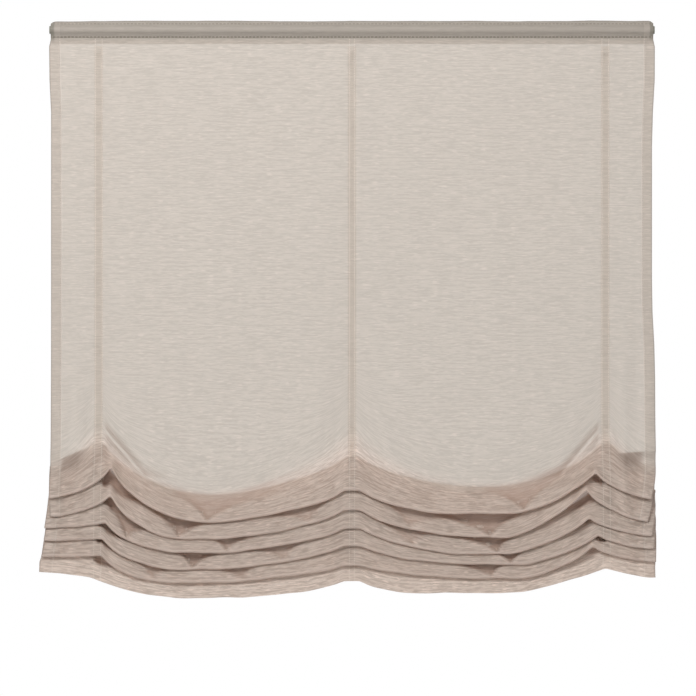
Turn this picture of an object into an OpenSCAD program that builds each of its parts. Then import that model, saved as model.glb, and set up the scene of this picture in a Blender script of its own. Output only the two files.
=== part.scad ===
// Soft roman blind: a sheer cloth panel on a head rod, gathered into swagged folds
// by three cords that run through rings on tapes sewn down its back.
// Millimetres, +Z up, front towards -Y, origin at the middle of the head rod's axis.

/* [Cloth panel] */
// Finished width of the panel
panel_w = 1000; // [800:10:1300]
// How far the free side edges draw in halfway down
waist = 5; // [0:1:8]
// Thickness of one layer of cloth
cloth_t = 0.6; // [0.4:0.1:0.8]
// Air between two layers that are sewn together
ply_gap = 0.15; // [0.1:0.05:0.3]
// Width of the turned hem down each side
side_hem_w = 18; // [12:1:26]
// Height of the turned hem along the bottom edge
bottom_hem_h = 16; // [12:1:20]

/* [Heading] */
// Height of the heading's top edge above the rod's axis
heading_h = 15; // [13:1:22]
// Height of each pocket seam above and below the rod's axis
pocket_seam_h = 10; // [9:0.5:12]
// Drop of the turned-back heading's lower edge below the rod's axis
heading_turn_h = 23; // [18:1:32]
// Length of rod left bare at each end of the heading
heading_inset = 8; // [5:1:14]
// Clearance between the rod and the cloth round it
rod_slack = 0.3; // [0.2:0.1:0.5]

/* [Head rod] */
// Outside diameter of the tube
rod_d = 12; // [10:1:13]
// Wall thickness of the tube
rod_wall = 1; // [0.8:0.1:1.2]
// Wall thickness of the bush round its peg socket
bush_wall = 0.95; // [0.8:0.05:1.2]
// Length of each bush inside the tube
bush_l = 15; // [10:1:25]
// Thickness of the rim at the end of each bush
bush_rim_t = 2.5; // [2:0.5:4]
// Radial clearance between a bush and the tube
bush_fit = 0.05; // [0.03:0.01:0.1]

/* [Tapes, rings and cords] */
// Distance of the outer tapes from the panel's side edges
tape_inset = 82; // [60:1:140]
// Width of each tape
tape_w = 14; // [10:1:18]
// Thickness of each tape
tape_t = 0.5; // [0.4:0.1:0.7]
// Outside diameter of a ring
ring_d = 13; // [11:0.5:16]
// Thickness of a ring's wire
ring_wire = 2.5; // [2:0.1:3]
// Drop of the top ring below the rod's axis
top_ring_drop = 40; // [32:1:60]
// Distance between rings on the flat fall
ring_pitch = 123; // [100:1:150]
// Diameter of a lift cord
cord_d = 1.8; // [1.4:0.1:2.2]
// Clearance between a ring and what it touches
ring_fit = 0.1; // [0.05:0.05:0.2]

/* [Gathered folds] */
// Distance between gathered rings on a cord
fold_pitch = 30.5; // [28:0.5:34]
// Height from a fold's lower edge to the ring behind it
loop_h = 52; // [46:1:60]
// How much lower the folds hang at the centre tape
centre_drop = 20; // [0:1:25]
// Sag of the first fold between two tapes
swag_first = 55; // [40:1:60]
// Extra sag of the first fold on the left, taken off on the right
swag_bias = 7; // [0:1:10]
// Sag of the bottom edge between two tapes
swag_last = 28; // [20:1:34]
// Droop of the first fold's free ends
wing_first = 35; // [20:1:38]
// Droop of the bottom edge's free ends
wing_last = 2; // [0:1:16]
// Spread of the lower left corner beyond the panel's width
flare = 15; // [0:1:20]
// Loop height lost between two tapes
loop_loss = 8; // [0:1:12]
// Bend radius along the lower edge of a fold
edge_r = 3.5; // [3:0.1:4]
// Bend radius at the top of a loop
loop_r = 3; // [2.6:0.1:3.4]
// Distance kept between neighbouring layers
layer_gap = 3; // [2.6:0.1:4]
// Drop of the bottom edge below the last fold
tail_h = 37; // [30:1:48]

/* [Hidden] */
$fn = 64;
fold_count = 5;
flat_rings = 6;
ring_count = flat_rings + fold_count;
SIDES = ["left", "centre", "right"];

half_w = panel_w / 2;
tape_x = half_w - tape_inset;
rod_r = rod_d / 2;
bush_r = rod_r - rod_wall - bush_fit;
rod_l = panel_w - 2 * bush_rim_t - 2;
tape_flat = tape_w / 2 + 3;
hem_step = 0.8;

// Layers at the heading, front to back: cloth, turned cloth, pocket tape
turned_y = cloth_t + ply_gap;
pocket_tape_y = turned_y + cloth_t / 2 + ply_gap + tape_t / 2;
turned_r = rod_r + rod_slack + cloth_t / 2;
front_r = turned_r + cloth_t + ply_gap;
pocket_tape_r = rod_r + rod_slack + tape_t / 2;

// Rings hang on the tapes, and the cords bear on the rear of the rings
tape_back = cloth_t / 2 + ply_gap + tape_t;
ring_r = (ring_d - ring_wire) / 2;
ring_y = tape_back + ring_fit + ring_d / 2;
hitch_r = (ring_wire + cord_d) / 2 + ring_fit;
hitch_y = ring_y + ring_r;
last_flat_z = -top_ring_drop - (flat_rings - 1) * ring_pitch;
first_loop_z = last_flat_z - fold_pitch;

// Depth of the folds: each layer clears the one in front at the tightest step
tight_step = fold_pitch - max(swag_first + swag_bias - swag_last, wing_first - wing_last) / fold_count;
leg_run = loop_h + fold_pitch - edge_r;
fold_reach = (2 * edge_r + layer_gap) * leg_run / tight_step - edge_r - loop_r;
loop_y = -loop_r;
edge_y = loop_y - fold_reach;

// Columns across the panel, closer together beside the tapes
bay_steps = 12;
bay_xs = [for (i = [1 : bay_steps - 1])
    tape_flat + (tape_x - 2 * tape_flat) * (1 - cos(180 * i / bay_steps)) / 2];
wing_w = half_w - side_hem_w - tape_x - tape_flat;
wing_xs = [for (i = [1 : 2]) tape_x + tape_flat + wing_w * i / 3];
half_xs = concat(
    [tape_flat], bay_xs, [tape_x - tape_flat, tape_x + tape_flat], wing_xs,
    [half_w - side_hem_w - hem_step, half_w - side_hem_w, half_w]);
xs = concat([for (i = [len(half_xs) - 1 : -1 : 0]) -half_xs[i]], half_xs);

function mix(a, b, f) = a + (b - a) * f;
function cosh(v) = (exp(v) + exp(-v)) / 2;
function side_x(s) = s == "left" ? -tape_x : s == "right" ? tape_x : 0;

// Place across the width: 0 at the centre tape, 1 at an outer tape, 2 at the panel's edge
function place(x) =
    let (a = abs(x))
    a <= tape_flat ? 0 :
    a < tape_x - tape_flat ? (a - tape_flat) / (tape_x - 2 * tape_flat) :
    a <= tape_x + tape_flat ? 1 :
    1 + (a - tape_x - tape_flat) / (half_w - tape_x - tape_flat);

// Swag between two tapes as a hanging curve that is steeper at the outer tape, and droop of the free ends
function swag(s) =
    s <= 0 || s >= 1 ? 0 : 1 - (cosh(2.4 * (2 * pow(s, 1.2) - 1)) - 1) / (cosh(2.4) - 1);
function droop(s) = s <= 1 ? 0 : (s - 1) * (3 - s);
function first_swag(x) = swag_first + (x < 0 ? swag_bias : -swag_bias);
function sag(k, x) =
    let (s = place(x), f = (k - 1) / fold_count)
    mix(first_swag(x), swag_last, f) * swag(s) + mix(wing_first, wing_last, f) * droop(s);
function lower(x) = centre_drop * (1 - min(place(x), 1));
function edge_z(k, x) = first_loop_z - (k - 1) * fold_pitch - lower(x) - loop_h - sag(k, x);
function loop_z(k, x) = edge_z(k, x) + loop_h - loop_loss * swag(place(x));
function bottom_z(x) =
    first_loop_z - (fold_count - 1) * fold_pitch - lower(x) / 2 - loop_h - tail_h - sag(fold_count + 1, x);

function arc(y, z, r, a0, a1, n) =
    [for (i = [0 : n]) let (a = mix(a0, a1, i / n)) [y + r * cos(a), z + r * sin(a)]];

// Half angle over which a layer sewn at height h and depth y hugs the rod
function hug(y, h, r) = atan2(h, y) - acos(r / norm([y, h]));

// Middle line of the cloth at x, from the turned heading's lower edge to the bottom hem
function heading_line() =
    let (
        b = hug(-turned_y, pocket_seam_h, turned_r),
        a = hug(0, pocket_seam_h, front_r),
        top_r = turned_y / 2)
    concat(
        [[turned_y, -heading_turn_h], [turned_y, -pocket_seam_h]],
        arc(0, 0, turned_r, 180 + b, 180 - b, 4),
        [[turned_y, pocket_seam_h]],
        arc(top_r, heading_h - top_r - cloth_t / 2, top_r, 0, 180, 2),
        [[0, pocket_seam_h]],
        arc(0, 0, front_r, 180 - a, 180 + a, 4),
        [[0, -pocket_seam_h]]);
function fall_line(x) =
    let (z = loop_z(1, x) + fold_pitch)
    [
        [0, -heading_turn_h - 2], [0, -heading_turn_h - 2 - hem_step], [0, -350],
        [0, z + 12], [-0.6, z], [-3, z - 10]];
function folds_line(x) = [for (k = [1 : fold_count]) each concat(
    arc(edge_y, edge_z(k, x) + edge_r, edge_r, 180, 360, 4),
    arc(loop_y, loop_z(k, x), loop_r, 180, 0, 3))];
function tail_line(x) =
    let (
        top = loop_z(fold_count, x),
        low = bottom_z(x),
        hem = bottom_hem_h / (top - low),
        step = hem_step / (top - low))
    [for (f = [1 - hem - step, 1 - hem, 1]) [mix(0, edge_y, f), mix(top, low, f)]];
function cloth_line(x) = concat(heading_line(), fall_line(x), folds_line(x), tail_line(x));

// Offset of a line's points to its front side, keeping the layer parallel
function unit(v) = v / norm(v);
function front_of(a, b) = let (d = unit(b - a)) [d[1], -d[0]];
function facing(line, j) =
    let (
        last = len(line) - 1,
        m = front_of(line[max(j - 1, 0)], line[max(j, 1)]),
        n = front_of(line[min(j, last - 1)], line[min(j + 1, last)]))
    (m + n) / (1 + m * n);
function beside(line, d) = [for (j = [0 : len(line) - 1]) line[j] + d * facing(line, j)];
function strip(line, d0, d1) =
    let (far = beside(line, d1), last = len(line) - 1)
    concat(beside(line, d0), [for (j = [last : -1 : 0]) far[j]]);

heading_n = len(heading_line());
fall_n = heading_n + len(fall_line(0));
line_n = len(cloth_line(0));

// The heading is drawn in at both ends, the free edges draw in at the waist and spread at the lower left
function spread(x, j) =
    j == heading_n + 2 ? -sign(x) * waist :
    j >= fall_n && x < 0 ? -flare * (j - fall_n) / (line_n - 1 - fall_n) : 0;
function column_x(x, j) =
    j < heading_n ? x * (half_w - heading_inset) / half_w : x + spread(x, j) * max(place(x) - 1, 0);

// The hems below the heading are two layers thick
function in_hem(x, j) =
    j > heading_n && (abs(x) >= half_w - side_hem_w - 0.01 || j >= line_n - 2);
function hem_t(x, j) = in_hem(x, j) ? cloth_t + ply_gap : 0;
function column(x) =
    let (
        line = cloth_line(x),
        turn = [for (j = [0 : line_n - 1]) facing(line, j)])
    concat(
        [for (j = [0 : line_n - 1]) let (p = line[j] + turn[j] * cloth_t / 2) [column_x(x, j), p[0], p[1]]],
        [for (j = [0 : line_n - 1])
            let (p = line[j] - turn[j] * (cloth_t / 2 + hem_t(x, j))) [column_x(x, j), p[0], p[1]]]);

function two(a, b, c, d) = [[a, b, c], [a, c, d]];

module fabric_panel() {
    n = line_n;
    m = len(xs);
    points = [for (x = xs) each column(x)];
    f = function (i, j) 2 * n * i + j;
    b = function (i, j) 2 * n * i + n + j;
    skin = [for (i = [0 : m - 2]) for (j = [0 : n - 2]) each concat(
        two(f(i, j), f(i + 1, j), f(i + 1, j + 1), f(i, j + 1)),
        two(b(i, j), b(i, j + 1), b(i + 1, j + 1), b(i + 1, j)))];
    ends = [for (i = [0 : m - 2]) each concat(
        two(f(i + 1, 0), f(i, 0), b(i, 0), b(i + 1, 0)),
        two(f(i, n - 1), f(i + 1, n - 1), b(i + 1, n - 1), b(i, n - 1)))];
    edges = [for (j = [0 : n - 2]) each concat(
        two(f(0, j), f(0, j + 1), b(0, j + 1), b(0, j)),
        two(f(m - 1, j + 1), f(m - 1, j), b(m - 1, j), b(m - 1, j + 1)))];
    color("#C9BCAE")
        polyhedron(points, concat(skin, ends, edges), convexity = 12);
}

// Draws a depth and height outline across the width w, centred on x
module across(x, w, outline) {
    translate([x - w / 2, 0, 0])
        rotate([90, 0, 90])
            linear_extrude(w)
                polygon(outline);
}

module rod_pocket_tape() {
    a = hug(pocket_tape_y, pocket_seam_h, pocket_tape_r);
    edge = pocket_seam_h + 1.5;
    line = concat(
        [[pocket_tape_y, -edge], [pocket_tape_y, -pocket_seam_h]],
        arc(0, 0, pocket_tape_r, -a, a, 6),
        [[pocket_tape_y, pocket_seam_h], [pocket_tape_y, edge]]);
    color("#D8CFC2")
        across(0, panel_w - 2 * heading_inset - 4, strip(line, -tape_t / 2, tape_t / 2));
}

module head_rod() {
    color("#B9BBB8")
        rotate([0, 90, 0])
            difference() {
                cylinder(h = rod_l, r = rod_r, center = true);
                cylinder(h = rod_l + 2, r = rod_r - rod_wall, center = true);
            }
}

// A bush fills the tube's end, its rim covers the cut edge, and a bracket's peg goes in its socket
module rod_bush(side) {
    turn = side == "left" ? -90 : 90;
    color("#8E8F86")
        rotate([0, turn, 0])
            translate([0, 0, rod_l / 2])
                difference() {
                    union() {
                        translate([0, 0, -bush_l])
                            cylinder(h = bush_l + bush_rim_t / 2, r = bush_r);
                        translate([0, 0, bush_fit])
                            cylinder(h = bush_rim_t, r = rod_r + 0.5);
                    }
                    translate([0, 0, -bush_l - 1])
                        cylinder(h = bush_l + bush_rim_t + 2, r = bush_r - bush_wall);
                }
}

// A tape lies on the back of the cloth from under the heading to the bottom hem
module ring_tape(side) {
    x = side_x(side);
    line = cloth_line(x);
    seen = [for (j = [heading_n : line_n - 3]) line[j]];
    color("#DDD5C8")
        across(x, tape_w, strip(seen, -tape_back, -(tape_back - tape_t)));
}

function ring_z(side, i) =
    i <= flat_rings
        ? -top_ring_drop - (i - 1) * ring_pitch
        : loop_z(i - flat_rings, side_x(side));

module ring(side, i) {
    color("#E9E6DF")
        translate([side_x(side), ring_y, ring_z(side, i)])
            rotate_extrude()
                translate([ring_r, 0])
                    circle(d = ring_wire);
}

// A cord hitches over the rear of the bottom ring, runs up through the rings and hitches to the top one
module lift_cord(side) {
    sides = 8;
    steps = 10;
    low = ring_z(side, ring_count);
    high = ring_z(side, 1);
    turns = concat(
        [for (i = [0 : steps]) [low, 250 * (i / steps - 1)]],
        [for (i = [0 : steps]) [high, 250 * i / steps]]);
    n = len(turns);
    points = [for (t = turns) for (q = [0 : sides - 1])
        let (
            r = hitch_r + cord_d / 2 * cos(360 * q / sides),
            w = cord_d / 2 * sin(360 * q / sides))
        [side_x(side) + w, hitch_y - r * cos(t[1]), t[0] + r * sin(t[1])]];
    p = function (i, q) sides * i + (q + sides) % sides;
    skin = [for (i = [0 : n - 2]) for (q = [0 : sides - 1]) each
        two(p(i, q), p(i + 1, q), p(i + 1, q + 1), p(i, q + 1))];
    ends = [[for (q = [0 : sides - 1]) p(0, q)], [for (q = [sides - 1 : -1 : 0]) p(n - 1, q)]];
    color("#EFEBE2")
        polyhedron(points, concat(skin, ends), convexity = 4);
}

fabric_panel();
rod_pocket_tape();
head_rod();
for (s = ["left", "right"])
    rod_bush(s);
for (s = SIDES)
    ring_tape(s);
for (s = SIDES)
    lift_cord(s);
for (s = SIDES, i = [1 : ring_count])
    ring(s, i);
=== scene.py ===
"""Dresses the roman blind: sheer cloth in swagged folds, tapes, seams, rings, cords and the head rod."""

import math

import bpy
import numpy as np
from bpy.props import (
    FloatProperty,
    FloatVectorProperty,
    IntProperty,
    PointerProperty,
)
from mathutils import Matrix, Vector


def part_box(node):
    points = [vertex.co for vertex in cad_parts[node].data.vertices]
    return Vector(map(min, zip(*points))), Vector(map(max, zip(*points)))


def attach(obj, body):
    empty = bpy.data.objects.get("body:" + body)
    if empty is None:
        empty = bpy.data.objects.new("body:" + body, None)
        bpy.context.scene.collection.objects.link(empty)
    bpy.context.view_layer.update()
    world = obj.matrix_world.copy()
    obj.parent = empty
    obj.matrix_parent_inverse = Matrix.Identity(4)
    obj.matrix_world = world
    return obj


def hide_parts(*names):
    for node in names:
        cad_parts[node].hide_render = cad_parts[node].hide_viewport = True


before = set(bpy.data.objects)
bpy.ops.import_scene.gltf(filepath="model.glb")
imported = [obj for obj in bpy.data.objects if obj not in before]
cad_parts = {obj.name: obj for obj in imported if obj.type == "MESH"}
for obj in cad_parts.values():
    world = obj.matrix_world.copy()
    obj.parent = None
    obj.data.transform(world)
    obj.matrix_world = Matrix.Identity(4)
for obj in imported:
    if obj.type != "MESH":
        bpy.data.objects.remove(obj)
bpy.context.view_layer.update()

bl_info = {
    "name": "Roman Blind",
    "version": (1, 0, 0),
    "blender": (4, 5, 0),
    "location": "View3D > Sidebar > Blind",
    "description": "Makes the cloth, tapes, seams, tacks and cords of a gathered roman blind",
    "category": "Object",
}

SIDES = ("left", "centre", "right")
FOLDS = 5
FLAT_RINGS = 6
RINGS = FLAT_RINGS + FOLDS

# Lower edge of each fold and, last, of the panel, in mm from the rod: height at the left edge; place and
# height of the peak beside the left tape; reach and height of the left swag's low; height at the centre;
# reach and height of the right swag's low; place and height of the right peak; height at the right edge
FOLD_LINES = (
    (-771, -395, -719, -243, -219, -810, -759, 178, 261, -797, 400, -729, -772),
    (-801, -396, -766, -267, -226, -839, -791, 211, 252, -835, 384, -757, -810),
    (-820, -404, -811, -276, -226, -861, -821, 211, 252, -863, 389, -804, -833),
    (-840, -409, -838, -284, -226, -888, -850, 219, 277, -880, 404, -832, -854),
    (-868, -411, -865, -292, -234, -910, -882, 228, 277, -903, 395, -850, -876),
    (-892, -429, -901, -267, -193, -934, -907, 106, 244, -926, 416, -886, -900),
)

# Places where a fold is pinched and falls back above a ridge: fold, place, reach to the left and to the
# right, and depth, in mm
PINCHES = (
    (1, -238, 26, 60, 9.0),
    (1, 282, 34, 34, 9.0),
    (2, -285, 22, 50, 12.0),
    (2, 227, 75, 28, 13.0),
    (2, -70, 60, 22, 6.0),
    (2, 92, 22, 60, 6.0),
    (3, -371, 12, 26, 10.0),
    (3, -206, 26, 55, 8.0),
    (3, 238, 65, 20, 12.0),
    (3, 100, 55, 22, 6.0),
    (4, -262, 20, 45, 11.0),
    (4, 261, 45, 24, 10.0),
    (4, -110, 55, 22, 6.0),
    (5, -180, 60, 22, 6.0),
    (5, 229, 75, 24, 9.0),
    (5, -330, 16, 40, 6.0),
)

# Hollows under the peaks beside the outer tapes: height of the hollow under each fold in turn, in mm
LEFT_HOLLOWS = (35, 28, 18, 12, 19)
RIGHT_HOLLOWS = (19, 28, 10, 13, 13)

# How far each fold's ends, and last the panel's lower corners, stand out from a straight side, in mm; then
# the same for the turns above them
LEFT_ENDS = (3, 5, -4, -5, -9, -12.5)
RIGHT_ENDS = (-9, -15, -8, -5, -2, -3)
LEFT_TURNS = (3.5, 2, 1, 1, 0, -4)
RIGHT_TURNS = (0, 0, 0, 0, 0, 0)

# Crease that drags from the lowest flat ring into each bay: distance from the tape and height, in mm
DRAG = ((8, 17, 48, 78, 141, 210), (-652, -667, -713, -736, -752, -768))

# Painted shade and painted highlight of that crease beside the outer tapes: slope and height at the tape, in m, where
# it is steep and shallow
DRAG_STEEP = (-1.13, -0.648)
DRAG_SHALLOW = (-0.24, -0.717)

# Tucks across the wings, which lie outside the outer tapes: side, height at the tape in m and slope outward
TUCKS = ((-1.0, -0.680, -0.45), (1.0, -0.699, 0.06))

# Lean of the fall's lower end to the front, in mm
LEAN = 8.0

# How much further the folds stand out between tapes, in mm
BULGE = 4.0

# Height of a fold's loop at the panel's sides, and how much higher the first turn lies, in mm
SIDE_LOOP = 48
FIRST_RISE = 11.0

# Height over which the last ply comes forward from its turn, in mm
NECK = 28.0

# Least space between plies, and a place in front of everything, in mm
PLY_SPACE = 1.2
FAR_FRONT = -60.0

# Painted shade down a fold's front: how much lighter its rim is painted as a highlight, and how much darker the
# painted shade grows towards the fold above
RIM = 0.42
BAND = 0.26

# Kinds of rows between the heading and the bottom hem
SEWN = ("fall", "front", "edge", "back", "turn")

# Mesh rows over the heading's top and down the front of the rod, and from these the rows, counted from the
# heading's last, of the upper pocket seam and of the top
TOP_BOW = 5
ROD_BOW = 9
OVER_ROW = -ROD_BOW - 2
TOP_ROW = OVER_ROW - 2 - TOP_BOW // 2

# Mesh rows down a fold's front, as shares of its height, closer towards its edge
FRONT_ROWS = (
    0.16, 0.31, 0.44, 0.54, 0.60, 0.64, 0.68, 0.72, 0.76, 0.80, 0.835, 0.87, 0.90, 0.93, 0.955, 0.98, 1.0
)


def box_of(node):
    """Low and high corner of a solid's box, in mm."""
    return [np.array(corner) * 1000 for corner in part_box(node)]


def ring_centre(side, number):
    """Middle of a ring, in mm."""
    low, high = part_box(f"ring_{side}_{number}")
    return np.array((low + high) / 2) * 1000


TAPE_X = {side: float(ring_centre(side, 1)[0]) for side in SIDES}
RING_Z = {side: [float(ring_centre(side, i + 1)[2]) for i in range(RINGS)] for side in SIDES}


class BlindClothSettings(bpy.types.PropertyGroup):
    """Sizes and colours of the cloth panel."""

    width: FloatProperty(
        name="Width", description="Width of the panel", default=1.0, min=0.4, max=2.0, unit="LENGTH"
    )
    thickness: FloatProperty(
        name="Thickness", description="Thickness of the cloth", default=0.0005, min=0.0003, max=0.0007, unit="LENGTH"
    )
    ply_gap: FloatProperty(
        name="Ply gap", description="Step from one ply to the next in the heading", default=0.00075, unit="LENGTH"
    )
    heading: FloatProperty(
        name="Heading", description="Height of the upstand above the rod's axis", default=0.015, unit="LENGTH"
    )
    seam_over: FloatProperty(
        name="Upper pocket seam", description="Height of the pocket's upper seam above the axis", default=0.010,
        unit="LENGTH",
    )
    seam_under: FloatProperty(
        name="Lower pocket seam", description="Depth of the pocket's lower seam below the axis", default=0.0115,
        unit="LENGTH",
    )
    heading_inset: FloatProperty(
        name="Heading inset", description="Length of rod that stands out at each end", default=0.003, unit="LENGTH"
    )
    heading_turn: FloatProperty(
        name="Heading turn", description="Depth of the turned-back heading below the axis", default=0.023,
        unit="LENGTH",
    )
    side_hem: FloatProperty(name="Side hem", description="Width of the side hems", default=0.018, unit="LENGTH")
    bottom_hem: FloatProperty(name="Bottom hem", description="Height of the bottom hem", default=0.016, unit="LENGTH")
    facing: FloatProperty(
        name="Facing", description="Height of the turned ply behind the bottom edge", default=0.048, unit="LENGTH"
    )
    loop_drop: FloatProperty(
        name="Loop drop", description="Height of a fold's loop in the middle of a bay", default=0.040, unit="LENGTH"
    )
    edge_round: FloatProperty(
        name="Edge round", description="Radius of a fold's lower edge", default=0.0026, unit="LENGTH"
    )
    reach: FloatProperty(
        name="Reach", description="How far the folds stand in front of the fall", default=0.0298, unit="LENGTH"
    )
    ripple: FloatProperty(
        name="Ripple", description="Depth of the soft waves in the cloth", default=0.0020, unit="LENGTH"
    )
    rows_fall: IntProperty(name="Rows in the fall", description="Mesh rows from heading to folds", default=33, min=20)
    colour: FloatVectorProperty(
        name="Colour", description="Colour of the yarn", subtype="COLOR", size=3, default=(0.63, 0.53, 0.465)
    )
    slub_colour: FloatVectorProperty(
        name="Slub colour", description="Colour of the thick yarns", subtype="COLOR", size=3,
        default=(0.83, 0.72, 0.645),
    )
    # The fall is tinted about 5% darker than the folds: painted shade on the single cloth, which the light from
    # behind makes brighter
    fall_tint: FloatVectorProperty(
        name="Fall tint", description="Tint of the single cloth in the fall", subtype="COLOR", size=3,
        default=(0.925, 0.945, 0.935),
    )
    fold_tint: FloatVectorProperty(
        name="Fold tint", description="Tint of the doubled cloth in the folds", subtype="COLOR", size=3,
        default=(0.975, 0.995, 0.985),
    )
    fall_glow: FloatVectorProperty(
        name="Fall glow", description="Colour of light through the fall", subtype="COLOR", size=3,
        default=(0.66, 0.66, 0.61),
    )
    glow_colour: FloatVectorProperty(
        name="Glow colour", description="Colour of light through the folds", subtype="COLOR", size=3,
        default=(0.84, 0.70, 0.63),
    )
    sheer: FloatProperty(
        name="Sheer", description="Share of open weave in one face of the cloth", default=0.31, min=0.0, max=0.6
    )
    glow: FloatProperty(
        name="Glow", description="Share of light that one face of the cloth passes on", default=0.22, min=0.0, max=0.9
    )


class BlindTrimSettings(bpy.types.PropertyGroup):
    """Sizes and colours of tapes, seams, cords and rod."""

    tape_width: FloatProperty(name="Tape width", description="Width of a ring tape", default=0.014, unit="LENGTH")
    tape_thickness: FloatProperty(
        name="Tape thickness", description="Thickness of a ring tape", default=0.0005, unit="LENGTH"
    )
    tape_set: FloatProperty(
        name="Tape set", description="Distance from the cloth's middle to the tape's front", default=0.00045,
        unit="LENGTH",
    )
    seam_set: FloatProperty(
        name="Seam set", description="Distance of a tape seam from the tape's middle", default=0.0056, unit="LENGTH"
    )
    stitch: FloatProperty(name="Stitch", description="Length of one stitch", default=0.0031, unit="LENGTH")
    stitch_gap: FloatProperty(name="Stitch gap", description="Gap between stitches", default=0.0009, unit="LENGTH")
    pocket_gap: FloatProperty(
        name="Pocket gap", description="Gap between the pocket's stitches", default=0.003, unit="LENGTH"
    )
    thread: FloatProperty(name="Thread", description="Diameter of the sewing thread", default=0.00055, unit="LENGTH")
    cord: FloatProperty(name="Cord", description="Diameter of a lift cord", default=0.0018, unit="LENGTH")
    lay: FloatProperty(
        name="Lay", description="Length of one turn of the cord's strands", default=0.0075, unit="LENGTH"
    )
    tape_colour: FloatVectorProperty(
        name="Tape colour", description="Colour of the tapes", subtype="COLOR", size=3, default=(0.74, 0.66, 0.58)
    )
    thread_colour: FloatVectorProperty(
        name="Thread colour", description="Colour of the thread", subtype="COLOR", size=3, default=(0.78, 0.70, 0.63)
    )
    pocket_thread: FloatVectorProperty(
        name="Pocket thread", description="Colour of the pocket's thread", subtype="COLOR", size=3,
        default=(0.62, 0.56, 0.49),
    )
    cord_colour: FloatVectorProperty(
        name="Cord colour", description="Colour of the cords", subtype="COLOR", size=3, default=(0.72, 0.68, 0.60)
    )
    rod_colour: FloatVectorProperty(
        name="Rod colour", description="Colour of the rod's steel", subtype="COLOR", size=3,
        default=(0.30, 0.30, 0.28),
    )
    bush_colour: FloatVectorProperty(
        name="Bush colour", description="Colour of the bushes", subtype="COLOR", size=3, default=(0.22, 0.22, 0.18)
    )
    ring_colour: FloatVectorProperty(
        name="Ring colour", description="Colour of the rings", subtype="COLOR", size=3, default=(0.76, 0.74, 0.70)
    )


class BlindStageSettings(bpy.types.PropertyGroup):
    """Camera, light and floor."""

    distance: FloatProperty(
        name="Camera distance", description="Distance from camera to cloth", default=5.0, unit="LENGTH"
    )
    view_width: FloatProperty(
        name="View width", description="Width that the picture shows at the cloth", default=1.1485, unit="LENGTH"
    )
    view_x: FloatProperty(name="View X", description="Middle of the picture across", default=-0.0066, unit="LENGTH")
    view_z: FloatProperty(
        name="View Z", description="Middle of the picture in height", default=-0.5247, unit="LENGTH"
    )
    floor_z: FloatProperty(name="Floor", description="Height of the floor", default=-1.45, unit="LENGTH")
    ambient: FloatProperty(name="Ambient", description="Level of the light from all round", default=0.31)
    key: FloatProperty(name="Key light", description="Power of the front light", default=76.0, unit="POWER")
    fill: FloatProperty(
        name="Fill light", description="Power of the light from the right", default=10.0, unit="POWER"
    )
    back: FloatProperty(name="Back light", description="Power of the light behind", default=18.0, unit="POWER")


# Shape of the cloth


def rise(q, power, spike):
    """Curve from 0 in a swag's low to 1 at its upper end, with a steep last part."""
    q = np.clip(q, 0.0, 1.0)
    return (1 - spike) * q**power + spike * q**12


def fold_edge(number, x, half):
    """Height of a fold's lower edge at each x, in mm; number 6 is the panel's own edge."""
    line = FOLD_LINES[number - 1]
    edge_l, peak_x_l, peak_l, low_l0, low_l1, low_l, mid = line[:7]
    low_r0, low_r1, low_r, peak_x_r, peak_r, edge_r = line[7:]
    spike = 0.0 if number > FOLDS else 0.2
    flat = 14.0
    return np.select(
        [
            x <= peak_x_l,
            x <= low_l0,
            x <= low_l1,
            x <= -flat,
            x <= flat,
            x <= low_r0,
            x <= low_r1,
            x <= peak_x_r,
        ],
        [
            edge_l + (peak_l - edge_l) * rise((x + half) / (peak_x_l + half), 1.9, spike),
            low_l + (peak_l - low_l) * rise((low_l0 - x) / (low_l0 - peak_x_l), 2.0, spike),
            np.full_like(x, low_l),
            low_l + (mid - low_l) * rise((x - low_l1) / (-flat - low_l1), 1.5, 0.17),
            np.full_like(x, mid),
            low_r + (mid - low_r) * rise((low_r0 - x) / (low_r0 - flat), 2.1, 0.12),
            np.full_like(x, low_r),
            low_r + (peak_r - low_r) * rise((x - low_r1) / (peak_x_r - low_r1), 1.55, spike / 3),
        ],
        edge_r + (peak_r - edge_r) * rise((half - x) / (half - peak_x_r), 1.7, spike),
    )


def even_edge(number, x, half, spread):
    """Height of a fold's lower edge, evened out over a spread to both sides."""
    parts = ((-1.0, 1), (-0.5, 2), (0.0, 3), (0.5, 2), (1.0, 1))
    return sum(w * fold_edge(number, np.clip(x + s * spread, -half, half), half) for s, w in parts) / 9


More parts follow.
